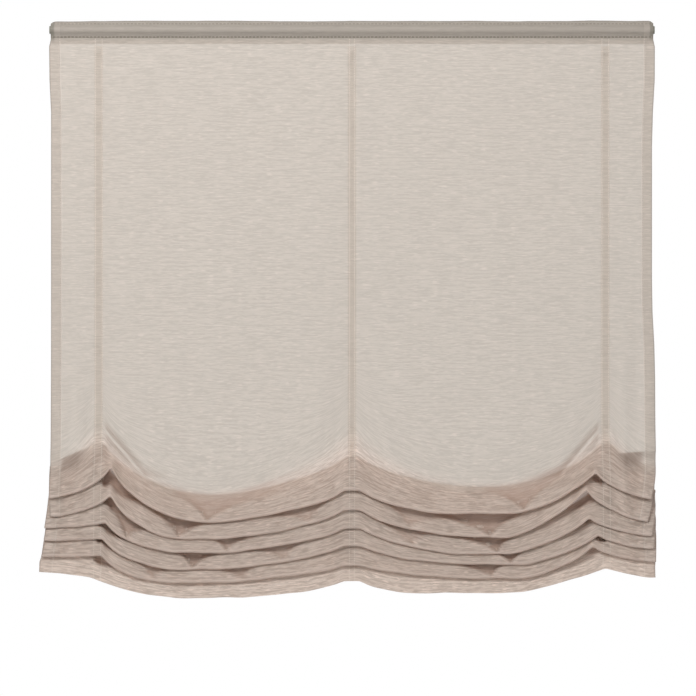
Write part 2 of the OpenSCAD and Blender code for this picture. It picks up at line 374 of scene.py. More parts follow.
def turn_height(number, x, half, loop):
    """Height of the upper turn behind a fold at each x, in mm; it meets the rings at the tapes."""
    line = FOLD_LINES[max(number, 1) - 1]
    up = 0.0 if number else FIRST_RISE
    edge_l, edge_r = line[0] + SIDE_LOOP + up, line[12] + SIDE_LOOP + up
    low_l, low_r = line[5] + loop + up, line[9] + loop + up
    ring = {side: RING_Z[side][FLAT_RINGS - 1 + number] for side in SIDES}
    tape_l, tape_r, flat = TAPE_X["left"], TAPE_X["right"], 9.0
    low_xl, low_xr = (line[3] + line[4]) / 2, (line[7] + line[8]) / 2
    return np.select(
        [
            x <= tape_l - flat,
            x <= tape_l + flat,
            x <= low_xl,
            x <= -flat,
            x <= flat,
            x <= low_xr,
            x <= tape_r - flat,
            x <= tape_r + flat,
        ],
        [
            edge_l + (ring["left"] - edge_l) * rise((x + half) / (tape_l - flat + half), 1.7, 0.0),
            np.full_like(x, ring["left"]),
            low_l + (ring["left"] - low_l) * rise((low_xl - x) / (low_xl - tape_l - flat), 2.0, 0.12),
            low_l + (ring["centre"] - low_l) * rise((x - low_xl) / (-flat - low_xl), 1.7, 0.12),
            np.full_like(x, ring["centre"]),
            low_r + (ring["centre"] - low_r) * rise((low_xr - x) / (low_xr - flat), 2.0, 0.12),
            low_r + (ring["right"] - low_r) * rise((x - low_xr) / (tape_r - flat - low_xr), 2.0, 0.12),
            np.full_like(x, ring["right"]),
        ],
        edge_r + (ring["right"] - edge_r) * rise((half - x) / (half - tape_r - flat), 1.7, 0.0),
    )


def waves(x, z):
    """Sum of soft waves in place of chance, about -1 to 1."""
    return (
        np.sin(x / 47.0 + 0.9 * np.sin(z / 260.0))
        + 0.8 * np.sin(x / 23.7 + z / 410.0 + 1.3)
        + 0.6 * np.sin(x / 81.0 - z / 190.0 + 4.1)
        + 0.5 * np.sin(x / 13.1 + z / 150.0 + 2.2)
    ) / 2.9


def step(a, b, t):
    """Smooth step from 0 at a to 1 at b."""
    q = np.clip((t - a) / (b - a), 0.0, 1.0)
    return q * q * (3 - 2 * q)


def beside_tape(x):
    """Distance from the nearest tape, in mm."""
    return np.min([np.abs(x - TAPE_X[side]) for side in SIDES], axis=0)


def near_tape(x):
    """0 on a tape, 1 well away from it."""
    return step(8.0, 60.0, beside_tape(x))


def out_on_wing(x):
    """0 up to the outer tapes, 1 out on the wings."""
    return step(12.0, 32.0, np.abs(x) - TAPE_X["right"])


def pinched(number, x):
    """Depth to which a fold is pinched at each x, in mm."""
    depth = np.zeros_like(x)
    for fold, place, left, right, most in PINCHES:
        if fold == number:
            depth = np.maximum(depth, most * np.exp(-np.abs(x - place) / np.where(x < place, left, right)))
    return depth


def past_ridges(number, x, height):
    """Share by which a fold falls back at a height above its edge, once past the ridges of its pinches."""
    share = np.zeros_like(height)
    for fold, place, left, right, most in PINCHES:
        if fold == number:
            near = np.exp(-(np.hypot(x - place, 4.0) - 4.0) / np.where(x < place, left, right))
            ridge = 36.0 * (1 - near) ** 0.85
            drop = 1 - np.exp(-np.maximum(height - ridge, 0.0) / 3.2)
            share = np.maximum(share, most / 22.0 * drop * step(0.03, 0.22, near))
    return share


def under_peaks(number, x, height, half):
    """Share by which a fold falls back under the peaks of the fold above, past a crisp ridge."""
    share = np.zeros_like(height)
    for peak, deep, inward in ((1, LEFT_HOLLOWS, 1), (10, RIGHT_HOLLOWS, -1)):
        place = FOLD_LINES[number - 2][peak]
        top = FOLD_LINES[number - 2][peak + 1] - deep[number - 2]
        first = top - float(even_edge(number, np.array([place], float), half, 4.0)[0])
        aside = (x - place) * inward
        off = np.hypot(aside, 3.0) - 3.0
        ridge = max(first, 6.0) + np.where(aside > 0, 0.42 * off, 0.3 * off + 2.2 * np.maximum(off - 9.0, 0.0))
        drop = 1 - np.exp(-np.maximum(height - ridge, 0.0) / 2.4)
        share = np.maximum(share, 0.9 * drop * step(85.0, 30.0, np.abs(aside)))
    return share


def fold_back(x):
    """How fast a fold falls back above its lower edge: most on the inner side of the outer tapes."""
    inner = TAPE_X["right"] - np.abs(x)
    power = 0.62 + 1.5 * np.exp(-(((inner - 24) / np.where(inner > 24, 36.0, 24.0)) ** 2))
    return power + 0.3 * np.exp(-((x / 26.0) ** 2))


def behind(y, limit):
    """y, moved back where it isn't behind the limit, with a soft change."""
    return 0.5 * (y + limit + np.sqrt((y - limit) ** 2 + 0.5))


def across_columns(z, line_z, line_y):
    """y at z of one line in each column, whose z falls from row to row, or far in front past its ends."""
    out = np.empty_like(z)
    for j in range(z.shape[1]):
        out[:, j] = np.interp(z[:, j], line_z[::-1, j], line_y[::-1, j], left=FAR_FRONT, right=FAR_FRONT)
    return out


class ClothShape:
    """Middle surface of the gathered panel as rows of points, in mm."""

    def __init__(self, cloth):
        mm = 1000.0
        self.half = cloth.width * mm / 2
        self.loop = cloth.loop_drop * mm
        self.heading = cloth.heading * mm
        self.over = cloth.seam_over * mm
        self.under = cloth.seam_under * mm
        self.inset = cloth.heading_inset * mm
        self.turn = cloth.heading_turn * mm
        self.hem = cloth.bottom_hem * mm
        self.ply = cloth.ply_gap * mm
        self.edge_r = cloth.edge_round * mm
        self.edge_y = -cloth.reach * mm
        self.ripple = cloth.ripple * mm
        self.rows_fall = cloth.rows_fall
        self.turn_r = 3.0
        self.rod_r = float(box_of("head_rod")[1][2])

    def heading_rows(self):
        """Turned ply up in front of the rod, over the top and down again, as (y, z)."""
        back_r = self.rod_r + 0.6
        front_r = back_r + self.ply

        def hug(y, height, radius):
            return math.atan2(height, -y) - math.acos(radius / math.hypot(y, height))

        def bow(radius, first, last, count):
            angles = np.linspace(math.pi + first, math.pi + last, count)
            return [(radius * math.cos(a), radius * math.sin(a)) for a in angles]

        top_r = self.ply / 2
        top_z = self.heading - top_r - 0.3
        rows = [(self.ply, z) for z in np.linspace(-self.turn, -self.under, 3)]
        rows += bow(back_r, hug(self.ply, self.under, back_r), -hug(self.ply, self.over, back_r), 7)
        rows += [(self.ply, self.over), (self.ply, (self.over + top_z) / 2)]
        top = np.linspace(0, math.pi, TOP_BOW)
        rows += [(top_r + top_r * math.cos(a), top_z + top_r * math.sin(a)) for a in top]
        rows += [(0.0, (self.over + top_z) / 2), (0.0, self.over)]
        rows += bow(front_r, -hug(0.0, self.over, front_r), hug(0.0, self.under, front_r), ROD_BOW)
        rows += [(0.0, -self.under)]
        return rows

    def surface(self, x):
        """Points (rows, columns, 3) for columns at x, and for each row its kind and fold."""
        x = np.asarray(x, float)
        ys, zs, kinds, depths = [], [], [], []

        def add(y, z, kind, fold=0, share=0.0, depth=0.0):
            # depth is the depth of painted shade at the row, below 0 where a highlight is painted
            depths.append(np.broadcast_to(np.asarray(depth, float), x.shape))
            ys.append(np.broadcast_to(np.asarray(y, float), x.shape).copy())
            zs.append(np.broadcast_to(np.asarray(z, float), x.shape).copy())
            kinds.append((kind, fold, share))

        for y, z in self.heading_rows():
            add(y, z, "heading")
        turns = [turn_height(k, x, self.half, self.loop) for k in range(FOLDS + 1)]
        ruffle = [1.5 * waves(1.6 * x + 130 * k, 0 * x) * near_tape(x) for k in range(FOLDS + 1)]
        edges = [even_edge(k + 1, x, self.half, 4.0) + ruffle[k] for k in range(FOLDS + 1)]
        evens = [even_edge(k + 1, x, self.half, 26.0) + ruffle[k] for k in range(FOLDS + 1)]
        start = -self.under - 4.0
        lean = -LEAN * near_tape(x)
        upper = np.linspace(0.017, 0.80, self.rows_fall // 3)
        for s in [0.0, 0.008, *upper, *np.linspace(0.80, 1.0, self.rows_fall - len(upper) + 1)[1:]]:
            z = start + (turns[0] - start) * s
            add(lean * step(190.0, 0.0, z - turns[0]), z, "fall", 0, s)
        er, tr = self.edge_r, self.turn_r
        shares = np.array(FRONT_ROWS)[:, None]
        rises = np.arange(1, 5)[:, None] / 4.0
        hollow = fold_back(x)
        full = 0.45 + 0.25 * (hollow - 0.62)
        hidden = None
        for k in range(1, FOLDS + 1):
            above, edge, top = turns[k - 1], edges[k - 1], turns[k]
            line = evens[k - 1] + (edge - evens[k - 1]) * step(0.62, 1.0, shares)
            begin = lean if k == 1 else 0.0 * x
            ey = self.edge_y - BULGE * near_tape(x) + 0.3 * pinched(k, x)
            loop = top - edge - er
            z = above + (line + er - above) * shares
            swing = np.clip(1 - (z - edge - er) / (loop + 6), 0, 1) ** (hollow if k == 1 else full)
            near = step(0.0, 1.0, (above - z) / np.maximum(above - top, 8.0))
            rest = begin + (-LEAN - begin) * near
            front = rest + (ey - er + LEAN) * swing
            deep = past_ridges(k, x, z - edge - er)
            if k > 1:
                deep = np.maximum(deep, under_peaks(k, x, z - edge - er, self.half))
            front += (rest - front) * deep
            if hidden is not None:
                front = behind(front, across_columns(z, *hidden) + PLY_SPACE)
                front[-1] = ey - er
            # Painted shade: darker where the fold falls back into a hollow and towards the fold above, with a painted
            # highlight just above its edge
            shade = deep + self.band_shade(z - edge - er)
            for i, share in enumerate(FRONT_ROWS):
                add(front[i], z[i], "front", k, share, shade[i])
            for a in np.linspace(np.pi, 2 * np.pi, 6)[1:]:
                # Painted highlight on the front of the fold's rounded edge, fading towards its underside
                lit = -RIM * max(-np.cos(a), 0.0)
                add(ey + er * np.cos(a), edge + er + er * np.sin(a), "edge", k, (a - np.pi) / np.pi, lit)
            zb = edge + er + loop * rises
            back = -2 * tr + (ey + er + 2 * tr) * (1 - rises) ** hollow
            back = behind(back, across_columns(zb, z, front) + PLY_SPACE)
            back[-1] = -2 * tr
            for i in range(len(rises) - 1):
                add(back[i], zb[i], "back", k, float(rises[i, 0]))
            for a in np.linspace(np.pi, 0, 5):
                add(-tr + tr * np.cos(a), top + tr * np.sin(a), "turn", k, 1 - a / np.pi)
            under_z = np.array([edge + er, edge - 1.0, edge - 9.0])
            under_y = np.array([ey + er, ey + 0.6 * er, ey - 3 * er])
            hidden = (np.concatenate([zb[::-1], under_z]), np.concatenate([back[::-1], under_y]))
        above, edge, even = turns[FOLDS], edges[FOLDS], evens[FOLDS]
        line = even + (edge - even) * step(0.62, 1.0, shares)
        ey = self.edge_y - 1.6 * BULGE * near_tape(x)
        z = np.concatenate(
            [
                above - (above - line - self.hem) * shares,
                edge + self.hem * np.array([0.985, 0.65, 0.3, 0.0])[:, None],
            ]
        )
        swing = np.clip(1 - (z - edge) / (above - edge - NECK), 0, 1) ** full
        rest = -LEAN * step(0.0, 1.0, (above - z) / NECK)
        front = rest + (ey + LEAN) * swing
        deep = under_peaks(FOLDS + 1, x, z - edge, self.half)
        front += (rest - front) * deep
        front = behind(front, across_columns(z, *hidden) + PLY_SPACE)
        # Rows of the last ply; where it falls back under the peaks it is also painted darker as shade
        for i, (line_y, line_z) in enumerate(zip(front, z)):
            kind = "front" if i < len(FRONT_ROWS) else "hem"
            add(line_y, line_z, kind, FOLDS + 1, FRONT_ROWS[min(i, len(FRONT_ROWS) - 1)], deep[i])
        y, z = np.array(ys), np.array(zs)
        xx = np.broadcast_to(x, y.shape).copy()
        # Depth of painted shade at each point, below 0 where a highlight is painted
        self.depth = np.array(depths)
        self.sway(xx, y, z)
        self.crease(xx, y, z)
        self.trim(xx, z, kinds)
        return np.stack([xx, y, z], axis=-1), kinds

    def band_shade(self, height):
        """Depth of painted shade on a fold's front at a height above its edge; below 0 just above the edge, where a
        highlight is painted.
        """
        return BAND * step(4.0, 26.0, height) - RIM * np.exp(-((height / 3.0) ** 2))

    def sway(self, x, y, z):
        """Soft waves of the whole panel, the same for all plies at one place."""
        hang = step(-30.0, -420.0, z)
        low = step(-420.0, -660.0, z)
        gathered = step(-670.0, -735.0, z)
        away = near_tape(x)
        y += self.ripple * (0.35 + 0.65 * hang) * step(-14.0, -120.0, z) * away * waves(x, z)
        y += 0.7 * gathered * away * waves(2.3 * x + 40.0, 3.0 * z)
        beside = beside_tape(x)
        y += 0.8 * gathered * step(7.0, 14.0, beside) * step(60.0, 24.0, beside) * waves(5.2 * x, 9.0 * z)
        y += 2.2 * low * out_on_wing(x) * np.sin((np.abs(x) - TAPE_X["right"]) / 6.6 + 0.4 * np.sin(z / 60.0))

    def crease(self, x, y, z):
        """Tucks across the wings and creases that drag from the tapes into the bays."""
        wing = out_on_wing(x)
        for sign, height, slope in TUCKS:
            over = z - 1000 * height - slope * (np.abs(x) - TAPE_X["right"])
            tuck = np.exp(-((over / np.where(over > 0, 30.0, 5.0)) ** 2))
            y -= 5.5 * tuck * wing * (x * sign > 0)
        for side, toward in (("left", 1), ("right", -1), ("centre", 1), ("centre", -1)):
            across = (x - TAPE_X[side]) * toward
            over = z - np.interp(across, *DRAG) - (6.0 if side == "left" else 0.0) * step(60.0, 140.0, across)
            ridge = np.exp(-((over / np.where(over > 0, 4.5, 22.0)) ** 2))
            y -= (1.8 if side == "centre" else 5.0) * ridge * step(8.0, 22.0, across) * step(190.0, 90.0, across)

    def trim(self, x, z, kinds):
        """Uneven top edge, waist of the sides and ends of the folds."""
        heading = np.array([kind == "heading" for kind, _, _ in kinds])[:, None]
        fall = np.array([kind == "fall" for kind, _, _ in kinds])[:, None]
        top = step(9.0, 14.0, z) * heading
        z += 0.9 * top * (waves(0.8 * x, 0 * x) + 0.3 * waves(3.1 * x, 0 * x))
        z -= 4.0 * top * np.clip((np.abs(x) - self.half + 9) / 9, 0, 1) ** 2
        outer = np.clip((np.abs(x) - TAPE_X["right"] - 10) / (self.half - TAPE_X["right"] - 10), 0, 1)
        waist_l = 3.5 * fall * step(-60.0, -130.0, z)
        waist_r = -5.0 * fall * step(-60.0, -180.0, z) * step(-560.0, -430.0, z)
        left = np.array([self.end_at(LEFT_ENDS, LEFT_TURNS, *kind) for kind in kinds])[:, None]
        right = np.array([self.end_at(RIGHT_ENDS, RIGHT_TURNS, *kind) for kind in kinds])[:, None]
        inset = self.inset * np.maximum(heading, fall * step(-30.0, -14.0, z))
        inset = inset * np.clip((np.abs(x) - self.half + 24) / 24, 0, 1)
        x += outer * np.where(x < 0, waist_l + left, waist_r + right) - np.sign(x) * inset

    def end_at(self, ends, turns, kind, fold, share):
        """Offset of a row's end."""
        if kind in ("heading", "fall"):
            return 0.0
        own = ends[fold - 1]
        if kind == "front":
            return turns[fold - 1] + (own - turns[fold - 1]) * share**2
        if kind == "back":
            return own + (turns[fold] - own) * share
        return turns[fold] if kind == "turn" else own


def columns(half, tape_half):
    """Columns across the panel in mm, with one on every tape edge and closer beside tapes and pinches."""
    tape = TAPE_X["right"]
    stops = (0, tape_half, 60, 205, 295, tape - 60, tape - tape_half, tape + tape_half, half - 18, half)
    counts = (3, 10, 23, 29, 9, 17, 5, 12, 5)
    right = [np.linspace(*ends)[1:] for ends in zip(stops, stops[1:], counts)]
    right = np.concatenate([[0.0], *right])
    return np.concatenate([-right[:0:-1], right])


def normals_of(points):
    """Unit normals to the front of a grid of points."""
    along = np.gradient(points, axis=0)
    across = np.gradient(points, axis=1)
    n = np.cross(along, across)
    return n / np.maximum(np.linalg.norm(n, axis=-1, keepdims=True), 1e-9)


def ridges_of(points, normal):
    """Curve of a grid of points to the front, in 1/mm: above 0 on ridges, below 0 in creases."""
    bend = np.zeros(points.shape[:2])
    for axis in (0, 1):
        run = np.gradient(points, axis=axis)
        turn = np.gradient(normal, axis=axis)
        bend += (run * turn).sum(axis=-1) / np.maximum((run * run).sum(axis=-1), 1e-6)
    return bend


def lengths(points):
    """Running length down the rows, the mean of all columns."""
    steps = np.linalg.norm(np.diff(points, axis=0), axis=-1).mean(axis=1)
    return np.concatenate([[0.0], np.cumsum(steps)])


def rows_of(kinds, *names):
    """Numbers of the rows of these kinds."""
    return [i for i, (kind, _, _) in enumerate(kinds) if kind in names]


def flat_rows(points, kinds):
    """Place of each point down the flat cloth: level in the fall, along the folds below it."""
    run = lengths(points)
    rows = np.broadcast_to(run[:, None], points.shape[:2]).copy()
    fall = rows_of(kinds, "fall")
    top = points[fall[0], :, 2].mean()
    for i in fall:
        share = step(0.82, 1.0, kinds[i][2])
        rows[i] = (1 - share) * (run[fall[0]] + top - points[i, :, 2]) + share * run[i]
    return rows


def thin_solid(name, front, back, u, v, bend=None):
    """Closed thin mesh between two grids of points in mm, with a UV map in metres of flat cloth."""
    rows, cols = front.shape[:2]
    verts = np.concatenate([front.reshape(-1, 3), back.reshape(-1, 3)]) * 0.001
    shift = rows * cols
    r, c = np.meshgrid(np.arange(rows - 1), np.arange(cols - 1), indexing="ij")
    a, b = (r * cols + c).ravel(), ((r + 1) * cols + c).ravel()
    d, e = b + 1, a + 1
    faces = [np.stack([a, b, d, e], 1), np.stack([a, e, d, b], 1) + shift]
    rim_c, rim_r = np.arange(cols - 1), np.arange(rows - 1) * cols
    last = (rows - 1) * cols
    faces.append(np.stack([rim_c, rim_c + 1, rim_c + 1 + shift, rim_c + shift], 1))
    faces.append(np.stack([last + rim_c + 1, last + rim_c, last + rim_c + shift, last + rim_c + 1 + shift], 1))
    faces.append(np.stack([rim_r + cols, rim_r, rim_r + shift, rim_r + cols + shift], 1))
    right = rim_r + cols - 1
    faces.append(np.stack([right, right + cols, right + cols + shift, right + shift], 1))
    faces = np.concatenate(faces)
    mesh = bpy.data.meshes.new(name)
    mesh.from_pydata(verts.tolist(), [], faces.tolist())
    uv = np.stack(np.broadcast_arrays(u[None, :], v), -1).reshape(-1, 2) * 0.001
    uv = np.concatenate([uv, uv])
    layer = mesh.uv_layers.new(name="Flat")
    loops = np.empty(len(mesh.loops), dtype=np.int32)
    mesh.loops.foreach_get("vertex_index", loops)
    layer.data.foreach_set("uv", uv[loops].astype(np.float32).ravel())
    # The bend attribute carries the curve with painted shade and highlights added; the back face gets it negated
    if bend is not None:
        layer = mesh.attributes.new("bend", "FLOAT", "POINT")
        layer.data.foreach_set("value", np.concatenate([bend.ravel(), -bend.ravel()]).astype(np.float32))
    mesh.polygons.foreach_set("use_smooth", np.ones(len(mesh.polygons), dtype=bool))
    mesh.set_sharp_from_angle(angle=math.radians(55))
    mesh.update()
    return mesh


def dress(mesh, material):
    """Gives a mesh one material."""
    mesh.materials.clear()
    mesh.materials.append(material)


def show(name, mesh, material=None):
    """Object of a mesh at the origin."""
    obj = bpy.data.objects.new(name, mesh)
    bpy.context.scene.collection.objects.link(obj)
    if material:
        dress(mesh, material)
    return obj


# Materials

# Colours of shaded cloth: in creases, in hollows, on the heading, at the pocket's ends and along its seams
CREASE_SHADE = (0.36, 0.265, 0.215, 1.0)
HOLLOW_SHADE = (0.36, 0.245, 0.195, 1.0)
HEADING_SHADE = (0.42, 0.395, 0.355, 1.0)
POCKET_END_SHADE = (0.25, 0.24, 0.195, 1.0)
SEAM_SHADE = (0.22, 0.19, 0.15, 1.0)
WHITE = (1.0, 1.0, 1.0, 1.0)


class Tree:
    """Short hand for the nodes and links of a node tree."""

    def __init__(self, tree):
        self.tree = tree
        tree.nodes.clear()

    def put(self, value, socket):
        """Links a socket's source, or sets its value."""
        if isinstance(value, bpy.types.NodeSocket):
            self.tree.links.new(value, socket)
        else:
            socket.default_value = value

    def add(self, kind, inputs=None, **settings):
        node = self.tree.nodes.new(kind)
        for key, value in settings.items():
            setattr(node, key, value)
        for key, value in (inputs or {}).items():
            self.put(value, node.inputs[key])
        return node

    def math(self, operation, a, b=0.0, c=0.0):
        return self.add("ShaderNodeMath", {0: a, 1: b, 2: c}, operation=operation).outputs[0]

    def plus(self, a, b):
        return self.math("ADD", a, b)

    def minus(self, a, b):
        return self.math("SUBTRACT", a, b)

    def times(self, a, b):
        return self.math("MULTIPLY", a, b)

    def most(self, a, b):
        return self.math("MAXIMUM", a, b)

    def seen(self):
        """1 for rays by which something is seen, straight or through a mirror or glass."""
        path = self.add("ShaderNodeLightPath").outputs
        return self.most(path["Is Camera Ray"], self.most(path["Is Glossy Ray"], path["Is Transmission Ray"]))


class Nodes(Tree):
    """Short hand for a material's nodes."""

    def __init__(self, name):
        self.material = bpy.data.materials.new(name)
        self.material.use_nodes = True
        super().__init__(self.material.node_tree)

    def mix(self, factor, a, b, blend="MIX"):
        node = self.add("ShaderNodeMix", data_type="RGBA", blend_type=blend)
        for index, value in ((0, factor), (6, a), (7, b)):
            self.put(value, node.inputs[index])
        return node.outputs[2]

    def noise(self, vector, scale, detail=2.0, rough=0.5):
        """Noise stretched by a scale on each axis."""
        mapped = self.add("ShaderNodeMapping", {"Vector": vector, "Scale": scale}).outputs[0]
        node = self.add("ShaderNodeTexNoise", {"Vector": mapped, "Scale": 1.0, "Detail": detail, "Roughness": rough})
        return node.outputs["Fac"]

    def blend(self, share, a, b):
        """Mix of two shaders."""
        return self.add("ShaderNodeMixShader", {0: share, 1: a, 2: b}).outputs[0]

    def clear(self):
        """Shader that lets all light pass."""
        return self.add("ShaderNodeBsdfTransparent", {"Color": WHITE}).outputs[0]

    def span(self, value, low, high, to_low=0.0, to_high=1.0):
        """Smooth step of a value from one range to another."""
        node = self.add(
            "ShaderNodeMapRange", {0: value, 1: low, 2: high, 3: to_low, 4: to_high}, interpolation_type="SMOOTHSTEP"
        )
        return node.outputs[0]

    def bump(self, height, strength, distance, normal=None):
        inputs = {"Strength": strength, "Distance": distance, "Height": height}
        if normal is not None:
            inputs["Normal"] = normal
        return self.add("ShaderNodeBump", inputs).outputs[0]

    def finish(self, shader):
        self.add("ShaderNodeOutputMaterial", {"Surface": shader})
        return self.material


def rgba(colour, gain=1.0):
    return (*[channel * gain for channel in colour], 1.0)


def pulled_creases(n, yarn, folded, light):
    """Painted shade in the wings' tucks and in the creases that the outer tapes pull, with painted highlights on
    their crests.
    """
    place = n.add("ShaderNodeSeparateXYZ", {0: n.add("ShaderNodeTexCoord").outputs["Object"]})
    x, z = place.outputs[0], place.outputs[2]
    tape = TAPE_X["right"] / 1000
    shades, crests = [], []
    for sign, height, slope in TUCKS:
        out = n.minus(n.times(x, sign), tape)
        line = n.math("MULTIPLY_ADD", out, slope, height)
        over = n.minus(z, line)
        below = n.times(n.span(over, -0.036, -0.008), n.span(over, -0.001, 0.001, 1.0, 0.0))
        below = n.times(below, n.span(out, 0.054, 0.066, 1.0, 0.25))
        shades.append(n.times(below, n.span(out, 0.012, 0.034, 0.0, 0.6)))
    for sign in (-1.0, 1.0):
        inward = n.minus(tape, n.times(x, sign))
        steep = n.math("MULTIPLY_ADD", inward, DRAG_STEEP[0], DRAG_STEEP[1])
        shallow = n.math("MULTIPLY_ADD", inward, DRAG_SHALLOW[0], DRAG_SHALLOW[1])
        over = n.minus(z, n.most(steep, shallow))
        reach = n.times(n.span(inward, 0.006, 0.016), n.span(inward, 0.050, 0.140, 1.0, 0.0))
        above = n.times(n.span(over, 0.000, 0.004), n.span(over, 0.004, 0.022, 1.0, 0.0))
        shades.append(n.times(n.times(above, reach), 0.42))
        under = n.times(n.span(over, -0.007, -0.001, 0.55, 0.0), n.span(folded, 0.0, 1.0, 1.0, 0.0))
        shades.append(n.times(under, reach))
        crest = n.span(n.math("ABSOLUTE", n.plus(over, 0.003)), 0.001, 0.0035, 0.2, 0.0)
        crests.append(n.times(crest, reach))
    shade = shades[0]
    for other in shades[1:]:
        shade = n.most(shade, other)
    # Painted shade first, then painted highlights along the crests
    yarn = n.mix(shade, yarn, CREASE_SHADE)
    for crest in crests:
        yarn = n.mix(crest, yarn, light)
    return yarn, shade


def sheer_cloth(cloth, trim, length, top, over, under, bend_at):
    """Sheer slubbed weave: thick and thin yarns across, open gaps that pass light, darker seams and hems, painted
    shade in creases and hollows and painted highlights on ridges and fold rims.
    """
    n = Nodes("sheer_cloth")
    uv = n.add("ShaderNodeUVMap", uv_map="Flat").outputs[0]
    parts = n.add("ShaderNodeSeparateXYZ", {0: uv})
    u, v = parts.outputs[0], parts.outputs[1]
    slub = n.noise(uv, (70.0, 560.0, 1.0), 2.0, 0.6)
    long_slub = n.noise(uv, (22.0, 330.0, 1.0), 1.0, 0.5)
    grain = n.noise(uv, (120.0, 1500.0, 1.0))
    warp = n.noise(uv, (900.0, 24.0, 1.0), 1.0, 0.5)
    cloud = n.noise(uv, (4.0, 3.0, 1.0))
    streak = n.plus(n.times(slub, 0.55), n.times(long_slub, 0.45))
    yarn = n.mix(n.span(streak, 0.42, 0.58), rgba(cloth.colour, 0.82), rgba(cloth.slub_colour))
    yarn = n.mix(n.span(grain, 0.35, 0.7, 0.0, 0.16), yarn, rgba(cloth.colour, 0.72))
    yarn = n.mix(n.span(cloud, 0.3, 0.7, 0.0, 0.12), yarn, rgba(cloth.colour, 0.86))
    folded = n.span(v, bend_at - 0.012, bend_at + 0.035)
    even = n.mix(0.5, rgba(cloth.colour, 0.9), rgba(cloth.slub_colour))
    yarn = n.mix(n.span(folded, 0.0, 1.0, 0.6, 0.0), yarn, even)
    # The fall is tinted darker than the folds as painted shade
    yarn = n.mix(1.0, yarn, n.mix(folded, rgba(cloth.fall_tint), rgba(cloth.fold_tint)), "MULTIPLY")
    dash = n.noise(uv, (62.0, 540.0, 1.0), 1.0, 0.4)
    fleck = n.times(n.span(dash, 0.58, 0.68), n.span(folded, 0.0, 1.0, 0.3, 0.85))
    yarn = n.mix(fleck, yarn, rgba(cloth.slub_colour, 1.18))
    bend = n.add("ShaderNodeAttribute", attribute_name="bend").outputs["Fac"]
    # Painted highlight on ridges and fold rims, painted shade in creases, hollows and on each fold's front towards
    # the fold above, read from the bend attribute
    yarn = n.mix(n.span(bend, 0.03, 0.24, 0.0, 0.6), yarn, rgba(cloth.slub_colour, 1.18))
    yarn = n.mix(n.span(bend, -0.30, -0.03, 0.62, 0.0), yarn, HOLLOW_SHADE)
    across = n.math("ABSOLUTE", u)
    yarn, shade = pulled_creases(n, yarn, folded, rgba(cloth.slub_colour, 1.1))
    rim = n.span(across, cloth.width / 2 - 0.0022, cloth.width / 2 - 0.0008, 0.0, 0.6)
    yarn = n.mix(rim, yarn, rgba(cloth.colour, 0.42))
    heading = n.span(v, under - 0.0006, under + 0.009, 1.0, 0.0)
    yarn = n.mix(n.times(heading, 0.45), yarn, HEADING_SHADE)
    pocket_end = n.times(n.span(across, cloth.width / 2 - 0.0078, cloth.width / 2 - 0.0058), heading)
    yarn = n.mix(n.times(pocket_end, 0.7), yarn, POCKET_END_SHADE)
    for place, reach, depth in ((top, 0.0020, 0.75), (over, 0.0012, 0.45), (under, 0.0016, 0.85)):
        line = n.span(n.math("ABSOLUTE", n.minus(v, place)), reach * 0.4, reach, depth, 0.0)
        yarn = n.mix(line, yarn, SEAM_SHADE)
    tape = TAPE_X["right"] / 1000
    seams = None
    for place in (tape - trim.seam_set, tape + trim.seam_set, trim.seam_set * 0.75, cloth.width / 2 - cloth.side_hem):
        line = n.span(n.math("ABSOLUTE", n.minus(across, place)), 0.0005, 0.0016, 1.0, 0.0)
        seams = line if seams is None else n.most(seams, line)
    side_hem = n.span(across, cloth.width / 2 - cloth.side_hem - 0.0004, cloth.width / 2 - cloth.side_hem + 0.0004)
    facing = n.span(v, length - cloth.facing - 0.004, length - cloth.facing + 0.004)
    hem = n.most(n.times(side_hem, 0.6), facing)
    seams = n.times(seams, n.minus(1.0, heading))
    yarn = n.mix(n.times(seams, 0.4), yarn, rgba(trim.thread_colour))
    yarn = n.mix(n.times(side_hem, 0.10), yarn, rgba(cloth.colour, 0.7))
    glow = n.mix(folded, rgba(cloth.fall_glow), rgba(cloth.glow_colour))
    glow = n.mix(n.span(streak, 0.40, 0.68, 0.0, 0.14), glow, rgba(cloth.colour, 0.5))
    glow = n.mix(n.times(hem, 0.35), glow, rgba(cloth.colour, 0.75))
    glow = n.mix(n.times(seams, 0.45), glow, rgba(trim.thread_colour))
    # The painted shade of the tucks and creases also darkens the light through them
    glow = n.mix(shade, glow, CREASE_SHADE)
    relief = n.plus(n.times(streak, 1.0), n.times(grain, 0.35))
    relief = n.plus(relief, n.times(warp, 0.25))
    relief = n.minus(relief, n.times(seams, 0.6))
    normal = n.bump(relief, 0.35, 0.0008)
    face = n.add(
        "ShaderNodeBsdfPrincipled",
        {
            "Base Color": yarn,
            "Roughness": n.span(streak, 0.4, 0.7, 0.62, 0.46),
            "Specular IOR Level": 0.3,
            "Sheen Weight": 0.22,
            "Sheen Roughness": 0.4,
            "Sheen Tint": (1.0, 0.95, 0.9, 1.0),
            "Normal": normal,
        },
    ).outputs[0]
    through = n.add("ShaderNodeBsdfTranslucent", {"Color": glow, "Normal": normal}).outputs[0]
    passed = n.span(folded, 0.0, 1.0, cloth.glow, cloth.glow + 0.13)
    weave = n.blend(passed, face, through)
    gaps = n.clear()
    # Less see-through at the hems, and under the painted shade of the tucks and creases
    closed_by_hem_and_shade = n.most(n.times(hem, 0.8), shade)
    open_share = n.times(n.minus(1.0, closed_by_hem_and_shade), cloth.sheer)
    seen = n.blend(open_share, weave, gaps)
    plain = n.add("ShaderNodeBsdfDiffuse", {"Color": rgba(cloth.colour)}).outputs[0]
    cast = n.blend(open_share, plain, gaps)
    # Shadows need the open share alone, so they skip the weave's pattern
    shadow = n.add("ShaderNodeLightPath").outputs["Is Shadow Ray"]
    return n.finish(n.blend(shadow, seen, cast))


